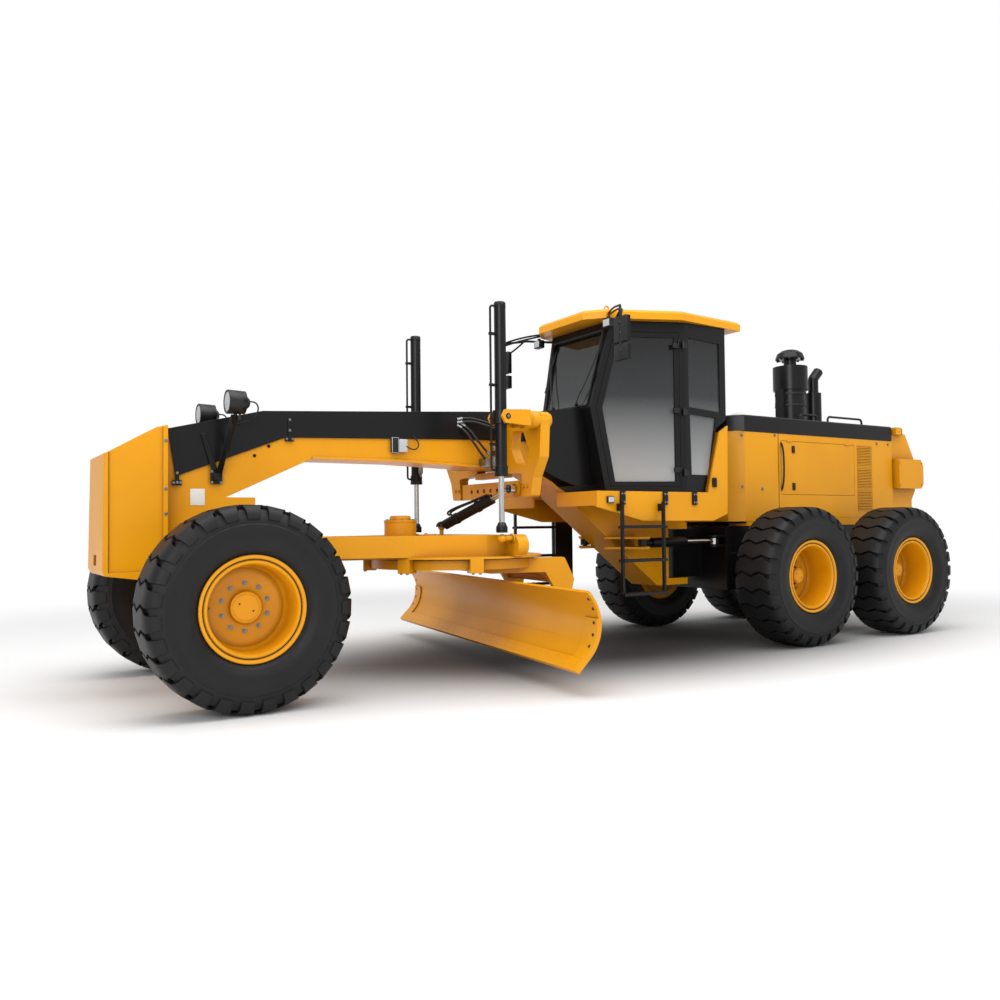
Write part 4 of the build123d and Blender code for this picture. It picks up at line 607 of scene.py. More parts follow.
LEFT_RIGHT = ((1, "left"), (-1, "right"))
LAMP = Vector((3.96, 0.45, 2.263))          # middle of the left lamp's bowl
LAMP_BOWL = [(-0.112, 0), (-0.108, 0.030), (-0.090, 0.048), (-0.070, 0.072), (-0.040, 0.091),
             (0.046, 0.0935), (0.062, 0.0945), (0.068, 0.090), (0.066, 0.082), (0.060, 0.080)]
LAMP_LENS = [(0.060, 0.081), (0.066, 0.072), (0.070, 0.045), (0.0715, 0.0)]
LAMP_CABLE = [(-0.10, 0, 0.01), (-0.16, 0, 0.02), (-0.19, 0, -0.05), (-0.14, -0.05, -0.14),
              (-0.06, -0.16, -0.15)]
LAMP_BARS = (((4.06, 0.232, 1.74), (4.15, 0.226, 2.035)), ((4.03, 0.236, 1.70), (3.97, 0.44, 2.165)))
for side, name in LEFT_RIGHT:
    bm = bmesh.new()
    at = Vector((LAMP.x, side * LAMP.y, LAMP.z))
    lathe(bm, LAMP_BOWL, at, (1, 0, 0), 40)
    foot = [(-0.03, -0.03, -0.09), (-0.03, 0.03, -0.09), (-0.03, 0.03, -0.155), (-0.03, -0.03, -0.155)]
    plate(bm, [at + Vector(corner) for corner in foot], 0.006)
    piece_from(f"headlamp_{name}", bm, moulded_black, "front_frame")
    turned(f"headlamp_lens_{name}", LAMP_LENS, at, (1, 0, 0), 40, clear_lens, "front_frame")
    route = [at + Vector(step) for step in on_side(side, LAMP_CABLE)]
    pipe(f"headlamp_cable_{name}", route, 0.006, moulded_black, "front_frame")
    bm = bmesh.new()
    slab(bm, *mirrored(side, (4.000, 0.2125, 1.635), (4.092, 0.2245, 1.745)), 0.003)
    slab(bm, *mirrored(side, (4.022, 0.2125, 1.660), (4.070, 0.2425, 1.72)), 0.006)
    across = Vector((0.024, 0, 0))
    for bar in LAMP_BARS:
        a, b = (Vector(end) for end in on_side(side, bar))
        plate(bm, [a - across, a + across, b + across * 0.8, b - across * 0.8], 0.012)
    piece_from(f"headlamp_bracket_{name}", bm, black_enamel, "front_frame")
    corners = [(x, side * 0.2245, z) for x in (4.010, 4.082) for z in (1.646, 1.734)]
    bolt_piece(f"headlamp_bolts_{name}", zinc_plate, "front_frame", "bare_steel",
               (corners, (0, side, 0), 0.015))

# ---------------------------------------------------------------- beam, its cover and its plate
# Box beam welded from thick plate under a bolted sheet cover. Small clips join the two, and a
# blank pale plate is stuck on near the front.
CLIPS = ((4.344, 1.622, 1.735), (3.445, 2.000, 2.195))      # each clip's x, and its foot and head in z
CLIP_BOLTS = ((4.344, 1.715), (4.344, 1.642), (3.445, 2.178), (3.445, 2.090))
FOOT_BOLTS = ((3.420, 2.018), (3.470, 2.018), (4.318, 1.640), (4.370, 1.640))
for side, name in LEFT_RIGHT:
    bm = bmesh.new()
    for x, foot, head in CLIPS:
        slab(bm, *mirrored(side, (x - 0.014, 0.2125, foot), (x + 0.014, 0.222, head)), 0.002)
        slab(bm, *mirrored(side, (x - 0.036, 0.2005, foot), (x + 0.036, 0.216, foot + 0.038)), 0.002)
    piece_from(f"cover_clips_{name}", bm, black_enamel, "front_frame")
    bolt_piece(f"cover_bolts_{name}", zinc_plate, "front_frame", "bare_steel",
               ([(x, side * 0.2215, z) for x, z in CLIP_BOLTS], (0, side, 0), 0.015),
               ([(x, side * 0.2165, z) for x, z in FOOT_BOLTS], (0, side, 0), 0.014))
    bolt_piece(f"beam_bolts_{name}", black_enamel, "front_frame", "black_paint",
               ([(3.735, side * 0.2005, 1.872), (3.617, side * 0.2005, 1.954)], (0, side, 0), 0.018))

# Matt vinyl, with a paper-like grain that shows as an uneven sheen.
label_stock = wavering("matt_vinyl_plate", "e4e2da", 80, 2, 0.45, 0.6)
bm = bmesh.new()
slab(bm, (4.131, 0.2002, 1.466), (4.243, 0.2030, 1.596), 0.001)
piece_from("blank_plate", bm, label_stock, "front_frame")

# Small box on the cover's side, pale behind and black in front, and its cable that goes back inside.
bm = bmesh.new()
slab(bm, (2.375, 0.2005, 1.945), (2.455, 0.255, 2.06), 0.006)
slab(bm, (2.455, 0.2005, 1.935), (2.520, 0.240, 2.075), 0.004, finish=1)
piece_from("junction_box", bm, [clear_lens, moulded_black], "front_frame")
route = [(2.39, 0.25, 2.00), (2.34, 0.262, 1.965), (2.27, 0.25, 1.98), (2.25, 0.235, 2.05),
         (2.31, 0.214, 2.10)]
pipe("junction_cable", route, 0.006, moulded_black, "front_frame")

# ---------------------------------------------------------------- lift saddle and its hoses
# Cast saddle over the beam that carries the lift cylinders. Rubber hoses with crimped steel ends
# come out of the cover: two end short of the saddle, one in a steel block and one just above it.
# Cured in a cloth wrap, their rubber keeps a fine grain.
hose_rubber = grained("braided_hose_rubber", "18181a", 0.42, 200, 2, 0.25, 0.001)

def bolt_circle(centre, radius, angles, side=1):
    """Places of bolts round a centre, in a plane across the machine."""
    x, y, z = centre
    return [(x, y + side * radius * math.cos(a), z + radius * math.sin(a)) for a in angles]


HOSES = [
    [(1.83, 0.206, 2.275), (1.76, 0.255, 2.292), (1.62, 0.29, 2.262), (1.5, 0.33, 2.225), (1.43, 0.36, 2.2)],
    [(1.83, 0.206, 2.245), (1.75, 0.265, 2.262), (1.62, 0.3, 2.232), (1.5, 0.34, 2.19), (1.43, 0.37, 2.17)],
    [(1.83, 0.206, 2.215), (1.79, 0.255, 2.18), (1.70, 0.29, 2.04), (1.62, 0.30, 1.935), (1.565, 0.30, 1.87)],
    [(1.79, 0.206, 2.235), (1.74, 0.25, 2.19), (1.67, 0.29, 2.08), (1.60, 0.31, 1.99), (1.545, 0.31, 1.945)]]
FERRULE = [(-0.004, 0), (-0.004, 0.016), (0.012, 0.016), (0.013, 0.0135), (0.044, 0.0135), (0.046, 0.0112)]
rod_low, rod_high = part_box("lift_rod_left")
LIFT_X, LIFT_Y = (rod_low.x + rod_high.x) / 2, (rod_low.y + rod_high.y) / 2     # a lift cylinder's axis
YOKE_Z = 2.230                              # height of its yoke's pins
ARM_BOLTS = ((0.26, 2.20), (0.26, 2.05), (0.26, 1.90), (0.60, 1.64), (0.66, 1.64))
for side, name in LEFT_RIGHT:
    routes = [on_side(side, route) for route in HOSES]
    for i, route in enumerate(routes):
        pipe(f"beam_hose_{name}_{i + 1}", route, 0.011, hose_rubber, "front_frame")
    bm = bmesh.new()
    for route in routes:                    # crimped ferrules at both ends
        for end, inner in ((route[0], route[1]), (route[-1], route[-2])):
            lathe(bm, FERRULE, end, Vector(inner) - Vector(end), 12)
    slab(bm, *mirrored(side, (1.500, 0.2005, 1.830), (1.600, 0.33, 1.915)), 0.006)
    piece_from(f"hose_ferrules_{name}", bm, zinc_plate, "front_frame")
    boss = (1.2655, side * LIFT_Y, YOKE_Z)
    bolt_piece(f"saddle_bolts_{name}", yellow_enamel, "front_frame", "yellow_paint",
               (bolt_circle(boss, 0.055, (0.8, 2.4, 3.9, 5.5), side), (-1, 0, 0), 0.018),
               ([(1.3675, side * y, z) for y, z in ARM_BOLTS], (1, 0, 0), 0.026))

# ---------------------------------------------------------------- blade-lift cylinders
# Enamelled steel barrels on cast yokes. Each has a lock valve on its side, a gland nut at its
# mouth and a forged cap over the ball at the rod's end.
GLAND = [(0, 0.050), (0, 0.061), (0.022, 0.063), (0.024, 0.059), (0.040, 0.059)]
BARREL_TOP = [(0, 0), (0, 0.030), (0.006, 0.046), (-0.004, 0.0525), (-0.045, 0.0535), (-0.050, 0.0522)]
LOCK_VALVE = [(0, 0), (0, 0.017), (-0.018, 0.021), (-0.070, 0.0225), (-0.073, 0.0195), (-0.090, 0.0195),
              (-0.094, 0.0235), (-0.160, 0.0225), (-0.175, 0.012), (-0.200, 0.006), (-0.204, 0)]
BALL_CAP = [(0.0, 0.038), (0.0, 0.047), (0.008, 0.051), (0.050, 0.051), (0.062, 0.043), (0.086, 0.034),
            (0.092, 0.0265)]
barrel_low, barrel_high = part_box("lift_barrel_left")
YOKE_FACE_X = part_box("lift_yoke_left")[0].x
for side, name in LEFT_RIGHT:
    y = side * LIFT_Y
    bm = bmesh.new()
    lathe(bm, GLAND, (LIFT_X, y, barrel_low.z - 0.0015), (0, 0, 1), 32)
    lathe(bm, BARREL_TOP, (LIFT_X, y, barrel_high.z + 0.003), (0, 0, 1), 32)
    for z in (1.98, 2.50, 2.95):            # clamps of the hard line
        slab(bm, (1.790, y - 0.014, z), (1.858, y + 0.014, z + 0.024), 0.003)
    slab(bm, *mirrored(side, (1.722, 0.700, 1.900), (1.768, 0.770, 1.945)), 0.004)
    piece_from(f"lift_barrel_fittings_{name}", bm, black_enamel, f"lift_barrel_{name}")
    turned(f"lock_valve_{name}", LOCK_VALVE, (LIFT_X, y - side * 0.098, 1.985), (0, 0, 1), 24, zinc_plate,
           f"lift_barrel_{name}")
    bm = bmesh.new()
    lathe(bm, BALL_CAP, (LIFT_X, y, rod_low.z - 0.0005), (0, 0, 1), 28)
    bolts(bm, [(LIFT_X + 0.052 * s, y, rod_low.z + 0.025) for s in (1, -1)], (1, 0, 0), 0.012)
    piece_from(f"ball_cap_{name}", bm, black_enamel, f"lift_rod_{name}")
    yoke_pin = (YOKE_FACE_X, y, YOKE_Z)
    bolt_piece(f"yoke_bolts_{name}", zinc_plate, f"lift_yoke_{name}", "bare_steel",
               ([yoke_pin], (-1, 0, 0), 0.050),
               (bolt_circle(yoke_pin, 0.045, (0.8, 2.36, 3.93, 5.5)), (-1, 0, 0), 0.014),
               ([(LIFT_X, y + s * 0.1255, YOKE_Z) for s in (1, -1)], (0, 1, 0), 0.020))

# ---------------------------------------------------------------- centre-shift cylinder
# Black steel cylinder from the drawbar up to the saddle. Its upper eye is closed by a round
# bolted cap, and two hoses run along its barrel.
QUARTERS = (0.79, 2.36, 3.93, 5.5)          # angles of four bolts, in radians
EYE_CAP = [(-0.004, 0), (-0.004, 0.036), (0.004, 0.040), (0.010, 0.040), (0.014, 0.036), (0.014, 0)]
EYE_Y, EYE_Z = 0.500, 1.622                 # its upper eye
turned("shift_eye_cap", EYE_CAP, (1.4665, EYE_Y, EYE_Z), (1, 0, 0), 32, black_enamel, "shift_rod")
bolt_piece("shift_eye_bolts", zinc_plate, "shift_rod", "bare_steel",
           (bolt_circle((1.4795, EYE_Y, EYE_Z), 0.025, QUARTERS), (1, 0, 0), 0.012))
low, high = Vector((1.840, -0.110, 1.275)), Vector((1.440, EYE_Y, EYE_Z))
along = (high - low).normalized()
out = along.cross(Vector((0, 0, 1))).normalized()
over = out.cross(along)
bm = bmesh.new()
for step in (0.17, 0.42):
    lathe(bm, [(0, 0.047), (0, 0.054), (0.030, 0.054), (0.030, 0.047)], low + along * step, along, 28)
piece_from("shift_barrel_bands", bm, black_enamel, "shift_barrel")
# each point's distance up the barrel, over its top and out to its side
SHIFT_HOSE = ((0.14, 0.055, 0.02), (0.11, 0.085, 0.03), (0.20, 0.095, 0.03), (0.40, 0.070, 0.02),
              (0.57, 0.055, 0.02))
for i, s in enumerate((1, -1)):
    route = [low + along * up + over * rise + out * aside * s for up, rise, aside in SHIFT_HOSE]
    pipe(f"shift_hose_{i + 1}", route, 0.010, hose_rubber, "shift_barrel")

# ---------------------------------------------------------------- drawbar and circle
# Welded box-section A-frame in yellow enamel. The toothed circle hangs below it on bolted shoes,
# and a worm gearbox under a bolted lid turns it.
GEARBOX_LID = [(0, 0.143), (0.004, 0.148), (0.022, 0.148), (0.024, 0.100), (0.060, 0.092), (0.064, 0.060),
               (0.064, 0)]
CIRCLE_X = 1.780                            # the circle's axis
gear = Vector((2.330, 0, 1.320))
turned("gearbox_lid", GEARBOX_LID, gear - Vector((0, 0, 0.002)), (0, 0, 1), 40, yellow_enamel, "drawbar")
LID_BOLTS, LID_CIRCLE = 10, 0.124
bm = bmesh.new()
turns = [2 * math.pi * i / LID_BOLTS for i in range(LID_BOLTS)]
lid_bolts = [Vector((LID_CIRCLE * math.cos(a), LID_CIRCLE * math.sin(a), 0.020)) for a in turns]
bolts(bm, [gear + at for at in lid_bolts], (0, 0, 1), 0.018)
SHOE_RADIUS, SHOE_Z = 0.826, 0.8745
for side in (1, -1):
    for angle in (30, 75):
        cos, sin = math.cos(math.radians(angle * side)), math.sin(math.radians(angle * side))
        for spread in (-0.032, 0.032):
            at = (CIRCLE_X + SHOE_RADIUS * cos - spread * sin, SHOE_RADIUS * sin + spread * cos, SHOE_Z)
            bolts(bm, [at], (0, 0, -1), 0.022)
piece_from("drawbar_bolts", bm, zinc_plate, "drawbar")
for side, name in LEFT_RIGHT:
    turned(f"drawbar_collar_{name}", [(0, 0.040), (0, 0.046), (0.012, 0.040)],
           (1.6355, side * LIFT_Y, 1.170), (1, 0, 0), 24, yellow_enamel, "drawbar")
TEETH, TEETH_RADIUS, TEETH_Z = 64, 0.630, 0.9425
half_tooth = Vector((0.013, 0.010, 0.036))
bm = bmesh.new()
for i in range(TEETH):
    a = 2 * math.pi * i / TEETH
    at = Vector((CIRCLE_X + TEETH_RADIUS * math.cos(a), TEETH_RADIUS * math.sin(a), TEETH_Z))
    slab(bm, at - half_tooth, at + half_tooth, 0, turn=Matrix.Rotation(a, 4, "Z"))
piece_from("circle_teeth", bm, yellow_enamel, "circle")

# ---------------------------------------------------------------- blade
# Rolled moldboard with a bolted cutting edge and end bits, all sprayed with the body colour.
# It is drawn square across, then turned to its angle at rest.
BLADE_TURN = Matrix.Translation((CIRCLE_X, 0, 0)) @ Matrix.Rotation(math.radians(-8.4), 4, "Z")
ARC = Vector((-0.0246, 0, 0.5326))          # centre of the board's curve
ARC_RADIUS, BLADE_ENDS = 0.340, (-2.176, 2.094)
EDGE_ANGLE = math.radians(43)               # slope of the cutting edge
down = Vector((math.sin(EDGE_ANGLE), 0, -math.cos(EDGE_ANGLE)))
face_out = Vector((math.cos(EDGE_ANGLE), 0, math.sin(EDGE_ANGLE)))
blade_foot = ARC - face_out * ARC_RADIUS
END_BIT_THICK, END_BIT_WIDE, FOOT_DROP = 0.014, 0.19, 0.036


def on_arc(y, angle, off=0.0):
    """A point of the board's face, by its angle above level and its distance in front of the face."""
    a = math.radians(angle)
    r = ARC_RADIUS - off
    return Vector((ARC.x - r * math.cos(a), y, ARC.z + r * math.sin(a)))


def blade_piece(name, bm, finish):
    """A piece that is drawn on the square board and rides on the turned one."""
    piece = piece_from(name, bm, finish, "moldboard")
    piece.matrix_world = BLADE_TURN
    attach(piece, "moldboard")


bm = bmesh.new()
both_ends = ((BLADE_ENDS[1], -1), (BLADE_ENDS[0], 1))
bit_angles = range(8, -44, -6)
for y_end, inward in both_ends:
    back = [on_arc(0, a) for a in bit_angles] + [blade_foot + down * FOOT_DROP]
    front = [on_arc(0, a, END_BIT_THICK) for a in bit_angles]
    front.append(blade_foot + down * FOOT_DROP + face_out * END_BIT_THICK)
    columns = []
    for y in sorted((y_end, y_end + inward * END_BIT_WIDE)):
        columns.append([bm.verts.new((p.x, y, p.z)) for p in back + front[::-1]])
    count = len(columns[0])
    for i in range(count):
        j = (i + 1) % count
        bm.faces.new((columns[0][i], columns[0][j], columns[1][j], columns[1][i]))
    bm.faces.new(columns[0])
    bm.faces.new(columns[1][::-1])
seam = blade_foot + down * 0.030 + face_out * 0.003         # bead along the cutting edge's top
rod(bm, seam + Vector((0, BLADE_ENDS[0] + 0.01, 0)), seam + Vector((0, BLADE_ENDS[1] - 0.01, 0)), 0.003, 6)
blade_piece("blade_end_bits", bm, yellow_enamel)
EDGE_BOLTS, EDGE_MARGIN = 27, 0.08
bm = bmesh.new()
for i in range(EDGE_BOLTS):
    y = BLADE_ENDS[0] + EDGE_MARGIN + (BLADE_ENDS[1] - BLADE_ENDS[0] - 2 * EDGE_MARGIN) * i / (EDGE_BOLTS - 1)
    for row in (0.062, 0.108):
        at = blade_foot + down * row + face_out * 0.0155 + Vector((0, y, 0))
        lathe(bm, [(0, 0.011), (0.003, 0.009), (0.0035, 0)], at, face_out, 10)
blade_piece("cutting_edge_bolts", bm, yellow_enamel)
bm = bmesh.new()
for y_end, inward in both_ends:
    for angle, off in ((34, 0), (20, 0), (2, 0.0145), (-14, 0.0145), (-30, 0.0145)):
        normal = Vector((math.cos(math.radians(angle)), 0, -math.sin(math.radians(angle))))
        at = on_arc(y_end + inward * 0.055, angle, off)
        lathe(bm, [(0, 0.014), (0.004, 0.011), (0.005, 0)], at, normal, 12)
blade_piece("end_bit_bolts", bm, black_enamel)

# ---------------------------------------------------------------- cab doors
# Each leaf is a formed steel frame with one glass pane bonded in it, coloured with the same painted
# reflection, so the leaf is split in two finishes. Strap hinges hold its rear edge to the post.
PANE_CORNER = (-0.388, 0.736, 1.710)
for side, name in LEFT_RIGHT:
    leaf = "cab_door_" + name
    bm = bmesh.new()
    bm.from_mesh(nodes[leaf].data)
    bm.transform(nodes[leaf].matrix_world)
    bmesh.ops.remove_doubles(bm, verts=bm.verts, dist=1e-5)
    for face in bm.faces:
        face.material_index = 0
        face.smooth = False
    start = Vector(on_side(side, [PANE_CORNER])[0])
    pane, grown = set(), [min(bm.verts, key=lambda v: (v.co - start).length)]
    while grown:                            # spread from one corner of the pane over its linked faces
        corner = grown.pop()
        if corner not in pane:
            pane.add(corner)
            grown += [edge.other_vert(corner) for edge in corner.link_edges]
    for corner in pane:
        for face in corner.link_faces:
            face.material_index = 1
    made = piece_from(leaf + "_leaf", bm, [black_enamel, glass_with_painted_reflection], leaf, sharp=20)
    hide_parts(leaf)
    bm = bmesh.new()
    for z in (1.80, 2.40, 3.06):
        slab(bm, *mirrored(side, (-0.436, 0.770, z), (-0.345, 0.792, z + 0.050)), 0.004)
    piece_from(f"door_straps_{name}", bm, moulded_black, leaf)
    bm = bmesh.new()
    for z in (1.76, 2.38, 3.06):
        rod(bm, (-0.462, side * 0.812, z), (-0.462, side * 0.812, z + 0.075), 0.013, 14)
        slab(bm, *mirrored(side, (-0.520, 0.790, z + 0.012), (-0.462, 0.806, z + 0.062)), 0.003)
    piece_from(f"door_hinges_{name}", bm, moulded_black, "front_frame")

# ---------------------------------------------------------------- cab glass, wipers and mirrors
# Extruded rubber seals frame the screens. Moulded mirrors hang on bent steel tubes, each wiper
# turns on a round boss, and plastic work lamps sit under the roof and on the skirt.
MIRROR_TUBES = [[(0.30, 0.56, 3.362), (0.42, 0.82, 3.352), (0.53, 1.01, 3.305)],
                [(0.36, 0.84, 3.352), (0.44, 0.90, 3.25), (0.53, 1.01, 3.18)],
                [(0.30, 0.56, 3.378), (0.44, 0.78, 3.380), (0.53, 1.01, 3.335)]]
WIPER_ARM = [(0.436, 0.20, 2.515), (0.450, 0.21, 2.545), (0.372, 0.335, 2.800), (0.315, 0.395, 3.020)]
MIRROR_CLAMP = [(0, 0.013), (0, 0.021), (0.028, 0.021), (0.028, 0.013)]
ROOF_LAMPS = (((0.330, 0.60, 3.270), 1), ((-1.150, 0.64, 3.285), -1))       # middle, and which way it faces
BRACKETS_X = (0.403, -0.143, -0.541)
half_lamp = Vector((0.034, 0.058, 0.044))
for side, name in LEFT_RIGHT:
    for i, route in enumerate(MIRROR_TUBES):
        route = on_side(side, route)
        pipe(f"mirror_tube_{name}_{i + 1}", route, 0.010, black_enamel, "front_frame")
    bm = bmesh.new()
    for foot, head in ((2.985, 3.235), (2.815, 2.965)):
        slab(bm, *mirrored(side, (0.506, 0.918, foot), (0.541, 1.100, head)), 0.016)
    for z in (2.90, 3.06, 3.16):
        lathe(bm, MIRROR_CLAMP, (0.530, side * 1.01, z), (0, 0, 1), 14)
    piece_from(f"mirror_backs_{name}", bm, moulded_black, "front_frame")
    pipe(f"wiper_arm_{name}", on_side(side, WIPER_ARM), 0.0065, moulded_black, "front_frame")
    bm = bmesh.new()
    rod(bm, (0.405, side * 0.395, 2.700), (0.240, side * 0.395, 3.180), 0.007, 10)
    boss = [(0, 0), (0, 0.020), (0.026, 0.016), (0.028, 0)]
    lathe(bm, boss, (0.432, side * 0.20, 2.502), (0.9, 0, 0.2), 18)
    piece_from(f"wiper_blade_{name}", bm, moulded_black, "front_frame")
    bm = bmesh.new()
    for middle, facing in ROOF_LAMPS:
        at = Vector(on_side(side, [middle])[0])
        slab(bm, at - half_lamp, at + half_lamp, 0.010)
        x0, x1 = sorted((at.x + facing * 0.0335, at.x + facing * 0.0375))
        slab(bm, (x0, at.y - 0.048, at.z - 0.034), (x1, at.y + 0.048, at.z + 0.034), 0.001, finish=1)
        slab(bm, (at.x - 0.012, at.y - 0.016, at.z + 0.040), (at.x + 0.012, at.y + 0.016, 3.336), 0.002)
    piece_from(f"roof_lamps_{name}", bm, [moulded_black, clear_lens], "front_frame")
    bm = bmesh.new()                        # brackets and latch along the cab's lower edge
    for x in BRACKETS_X:
        slab(bm, *mirrored(side, (x - 0.030, 0.848, 1.470), (x + 0.030, 0.870, 1.600)), 0.006)
    slab(bm, *mirrored(side, (-0.855, 0.848, 1.655), (-0.800, 0.868, 1.750)), 0.006)
    piece_from(f"skirt_brackets_{name}", bm, black_enamel, "front_frame")
    places = [(x + s * 0.015, side * 0.870, z) for x in BRACKETS_X for s in (1, -1) for z in (1.495, 1.575)]
    bolt_piece(f"skirt_bolts_{name}", zinc_plate, "front_frame", "bare_steel", (places, (0, side, 0), 0.014))
    bm = bmesh.new()
    slab(bm, *mirrored(side, (0.515, 0.848, 1.485), (0.595, 0.872, 1.548)), 0.006)
    slab(bm, *mirrored(side, (0.521, 0.871, 1.491), (0.589, 0.875, 1.542)), 0.001, finish=1)
    piece_from(f"step_lamp_{name}", bm, [moulded_black, clear_lens], "front_frame")
FRONT_SEAL = [(0.433, 0.36, 2.478), (0.433, -0.36, 2.478), (0.264, -0.43, 3.245), (0.264, 0.43, 3.245)]
REAR_SEAL = [(-1.070, 0.645, 2.445), (-1.070, -0.645, 2.445), (-1.070, -0.645, 3.205), (-1.070, 0.645, 3.205)]
bm = bmesh.new()
for corners in (FRONT_SEAL, REAR_SEAL):
    for a, b in zip(corners, corners[1:] + corners[:1]):
        rod(bm, a, b, 0.009, 8)
piece_from("screen_seals", bm, moulded_black, "front_frame")

# ---------------------------------------------------------------- seat and console
# Sprung seat with foam pads under woven cloth. Short levers with round plastic knobs stand on
# the console beside the steering wheel's boss.
SEAT_PADS = {"seat_cushion": ((-0.575, -0.255, 1.975), (-0.085, 0.255, 2.052)),
             "seat_back": ((-0.600, -0.230, 2.090), (-0.530, 0.230, 2.700))}
for pad, (low, high) in SEAT_PADS.items():
    bm = bmesh.new()
    slab(bm, low, high, 0.030)
    piece_from(pad, bm, seat_cloth, "front_frame", sharp=80)
WHEEL_BOSS = [(0, 0), (0, 0.035), (0.012, 0.040), (0.020, 0.032), (0.022, 0)]
KNOB = [(0, 0), (0.0, 0.010), (0.018, 0.016), (0.034, 0.010), (0.036, 0)]
bm = bmesh.new()
lathe(bm, WHEEL_BOSS, (0.040, 0, 2.343), (-0.57, 0, 0.82), 24)
for y in (-0.055, 0.055):
    rod(bm, (0.10, y, 2.04), (0.075, y, 2.26), 0.007, 10)
    lathe(bm, KNOB, (0.075, y, 2.25), (0, 0, 1), 14)
piece_from("console_levers", bm, moulded_black, "front_frame")

# ---------------------------------------------------------------- engine hood fittings
# Folded sheet hood with a punched yellow grille over each set of louvres, black latches on its
# side door, a bent tube handle beside it and a clear lamp at each rear corner.
HOOD_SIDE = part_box("hood_top")[1].y
HOOD_BOLTS = ((-1.841, 1.661), (-1.52, 1.682), (-2.059, 2.270), (-1.52, 2.250), (-3.93, 2.250), (-3.93, 1.42),
              (-4.16, 2.250), (-4.16, 1.42))
HOOD_HANDLE = [(-2.160, 0.598, 2.190), (-2.160, 0.640, 2.165), (-2.160, 0.640, 1.700), (-2.160, 0.598, 1.650)]


def on_hood(side, low, high, deep):
    """Corners of a block on the hood's side, from its (X, Z) corners and how far it stands out."""
    return mirrored(side, (low[0], HOOD_SIDE, low[1]), (high[0], HOOD_SIDE + deep, high[1]))


for side, name in LEFT_RIGHT:
    bm = bmesh.new()
    for foot, head in ((1.42, 1.67), (1.69, 1.94), (1.96, 2.21)):
        for i in range(13):
            x = -3.820 + 0.280 * i / 12
            slab(bm, *on_hood(side, (x - 0.003, foot), (x + 0.003, head), 0.004), 0)
        for i in range(14):
            z = foot + (head - foot) * i / 13
            slab(bm, *on_hood(side, (-3.822, z - 0.0045), (-3.538, z + 0.0045), 0.005), 0)
    piece_from(f"louvre_mesh_{name}", bm, yellow_enamel, "rear_frame")
    bm = bmesh.new()
    slab(bm, *on_hood(side, (-2.118, 1.30), (-2.112, 2.30), 0.002), 0)
    slab(bm, *on_hood(side, (-4.22, 2.292), (-1.48, 2.300), 0.003), 0)
    piece_from(f"hood_seams_{name}", bm, moulded_black, "rear_frame")
    bm = bmesh.new()
    for foot in (1.655, 2.080):
        slab(bm, *on_hood(side, (-2.385, foot), (-2.345, foot + 0.080), 0.014), 0.003)
    piece_from(f"door_latches_{name}", bm, moulded_black, f"engine_door_{name}")
    places = [(x, side * HOOD_SIDE, z) for x, z in HOOD_BOLTS]
    bolt_piece(f"hood_bolts_{name}", zinc_plate, "rear_frame", "bare_steel", (places, (0, side, 0), 0.022))
    pipe(f"hood_handle_{name}", on_side(side, HOOD_HANDLE), 0.010, black_enamel, "rear_frame")
    bm = bmesh.new()
    slab(bm, *mirrored(side, (-4.470, 0.558, 2.385), (-4.395, 0.600, 2.465)), 0.006)
    slab(bm, *mirrored(side, (-4.4755, 0.562, 2.391), (-4.4695, 0.596, 2.459)), 0.001, finish=1)
    piece_from(f"tail_lamp_{name}", bm, [moulded_black, clear_lens], "rear_frame")
    places = [(x, side * 0.680, z) for x in (-4.28, -4.74) for z in (1.745, 2.025)]
    bolt_piece(f"tail_box_bolts_{name}", yellow_enamel, "rear_frame", "yellow_paint",
               (places, (0, side, 0), 0.020))

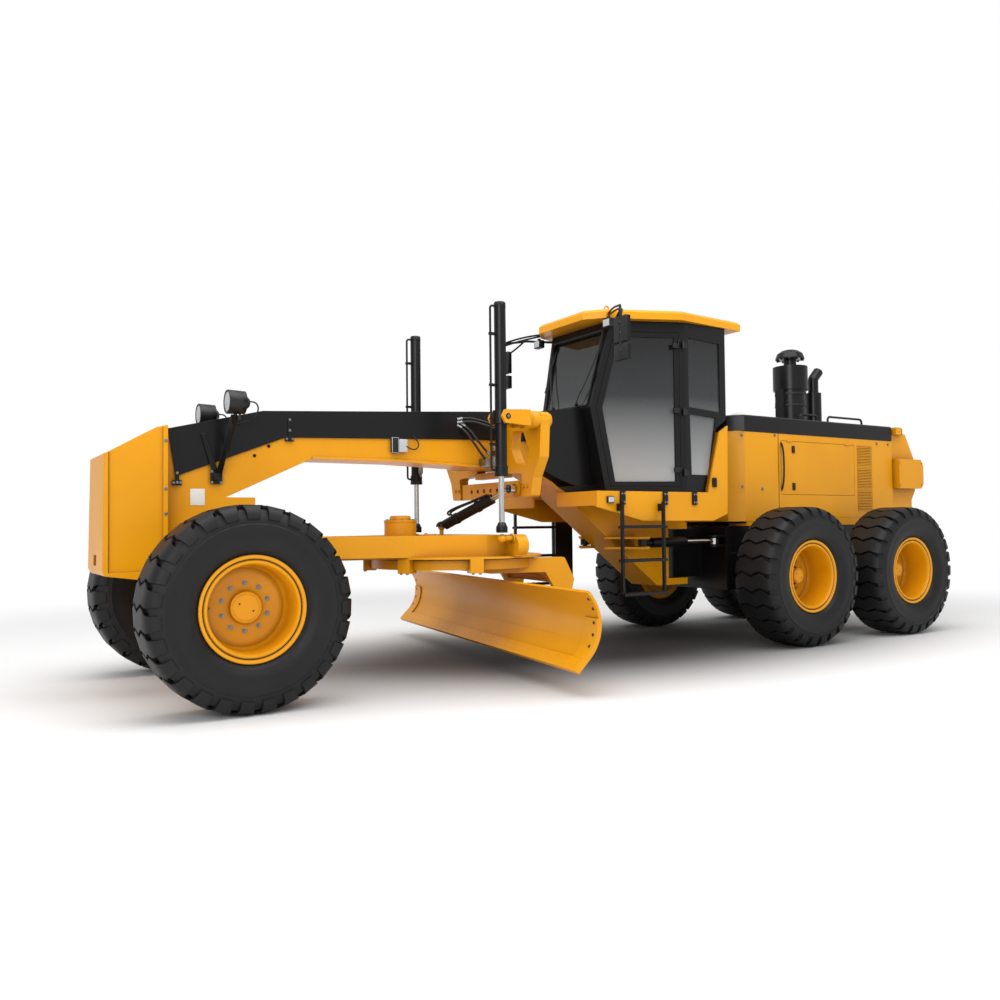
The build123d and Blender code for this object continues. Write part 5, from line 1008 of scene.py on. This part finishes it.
# Pale domed lid on the hood's top, then the bands and the rain cap's vanes of the air cleaner.
TANK_DOME = [(0, 0.15), (0.020, 0.15), (0.060, 0.110), (0.078, 0.060), (0.082, 0)]
turned("tank_dome", TANK_DOME, (-1.900, 0.250, 2.476), (0, 0, 1), 32, label_stock, "rear_frame")
CLEANER_X, CLEANER_Y = -2.930, 0.120
BAND = [(0, 0.176), (0, 0.1865), (0.024, 0.1865), (0.024, 0.176)]
VANES, VANE_CIRCLE = 10, 0.150
bm = bmesh.new()
for z in (2.700, 2.840):
    lathe(bm, BAND, (CLEANER_X, CLEANER_Y, z), (0, 0, 1), 40)
bolts(bm, [(-2.745, CLEANER_Y, z) for z in (2.712, 2.852)], (1, 0, 0), 0.016)
for i in range(VANES):
    a = 2 * math.pi * i / VANES
    at = Vector((CLEANER_X + VANE_CIRCLE * math.cos(a), CLEANER_Y + VANE_CIRCLE * math.sin(a), 3.300))
    slab(bm, at - Vector((0.018, 0.003, 0.030)), at + Vector((0.018, 0.003, 0.020)), 0,
         turn=Matrix.Rotation(a, 4, "Z"))
piece_from("cleaner_bands", bm, moulded_black, "rear_frame")

# ---------------------------------------------------------------- ladders and mud flap
# Steel ladders in black enamel, with raised treads on their rungs and buttons on their rails.
# The flap is clamped by bolted strips.
for side, name in LEFT_RIGHT:
    bm = bmesh.new()
    for z in (0.612, 0.93, 1.25):
        for i in range(7):
            x = -0.015 + 0.432 * i / 6
            slab(bm, *mirrored(side, (x - 0.018, 0.874, z + 0.008), (x + 0.018, 0.956, z + 0.0225)), 0.002)
    for x in (-0.06, 0.462):
        for z in (0.66, 1.44):
            lathe(bm, [(0, 0.011), (0.004, 0.009), (0.005, 0)], (x, side * 0.932, z), (0, side, 0), 12)
    piece_from(f"ladder_treads_{name}", bm, black_enamel, "front_frame")
bm = bmesh.new()
for z in (1.30, 0.62):
    slab(bm, (-0.300, -0.912, z), (-0.083, -0.899, z + 0.060), 0.003)
bolts(bm, [(x, -0.899, z) for x in (-0.27, -0.19, -0.11) for z in (1.33, 0.65)], (0, 1, 0), 0.016)
piece_from("flap_strips", bm, cast_iron, "front_frame")

# ---------------------------------------------------------------- front axle
# Fabricated axle beam that rocks on a pin through the frame. A bolted round cap closes the pin.
PIVOT_CAP = [(0, 0), (0, 0.080), (0.014, 0.084), (0.018, 0.050), (0.026, 0.046), (0.028, 0)]
bm = bmesh.new()
pivot = Vector((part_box("front_axle")[1].x - 0.002, 0, 0.735))
lathe(bm, PIVOT_CAP, pivot, (1, 0, 0), 32)
bolts(bm, bolt_circle(pivot + Vector((0.014, 0, 0)), 0.066, QUARTERS), (1, 0, 0), 0.020)
piece_from("axle_pivot_cap", bm, black_enamel, "front_axle")
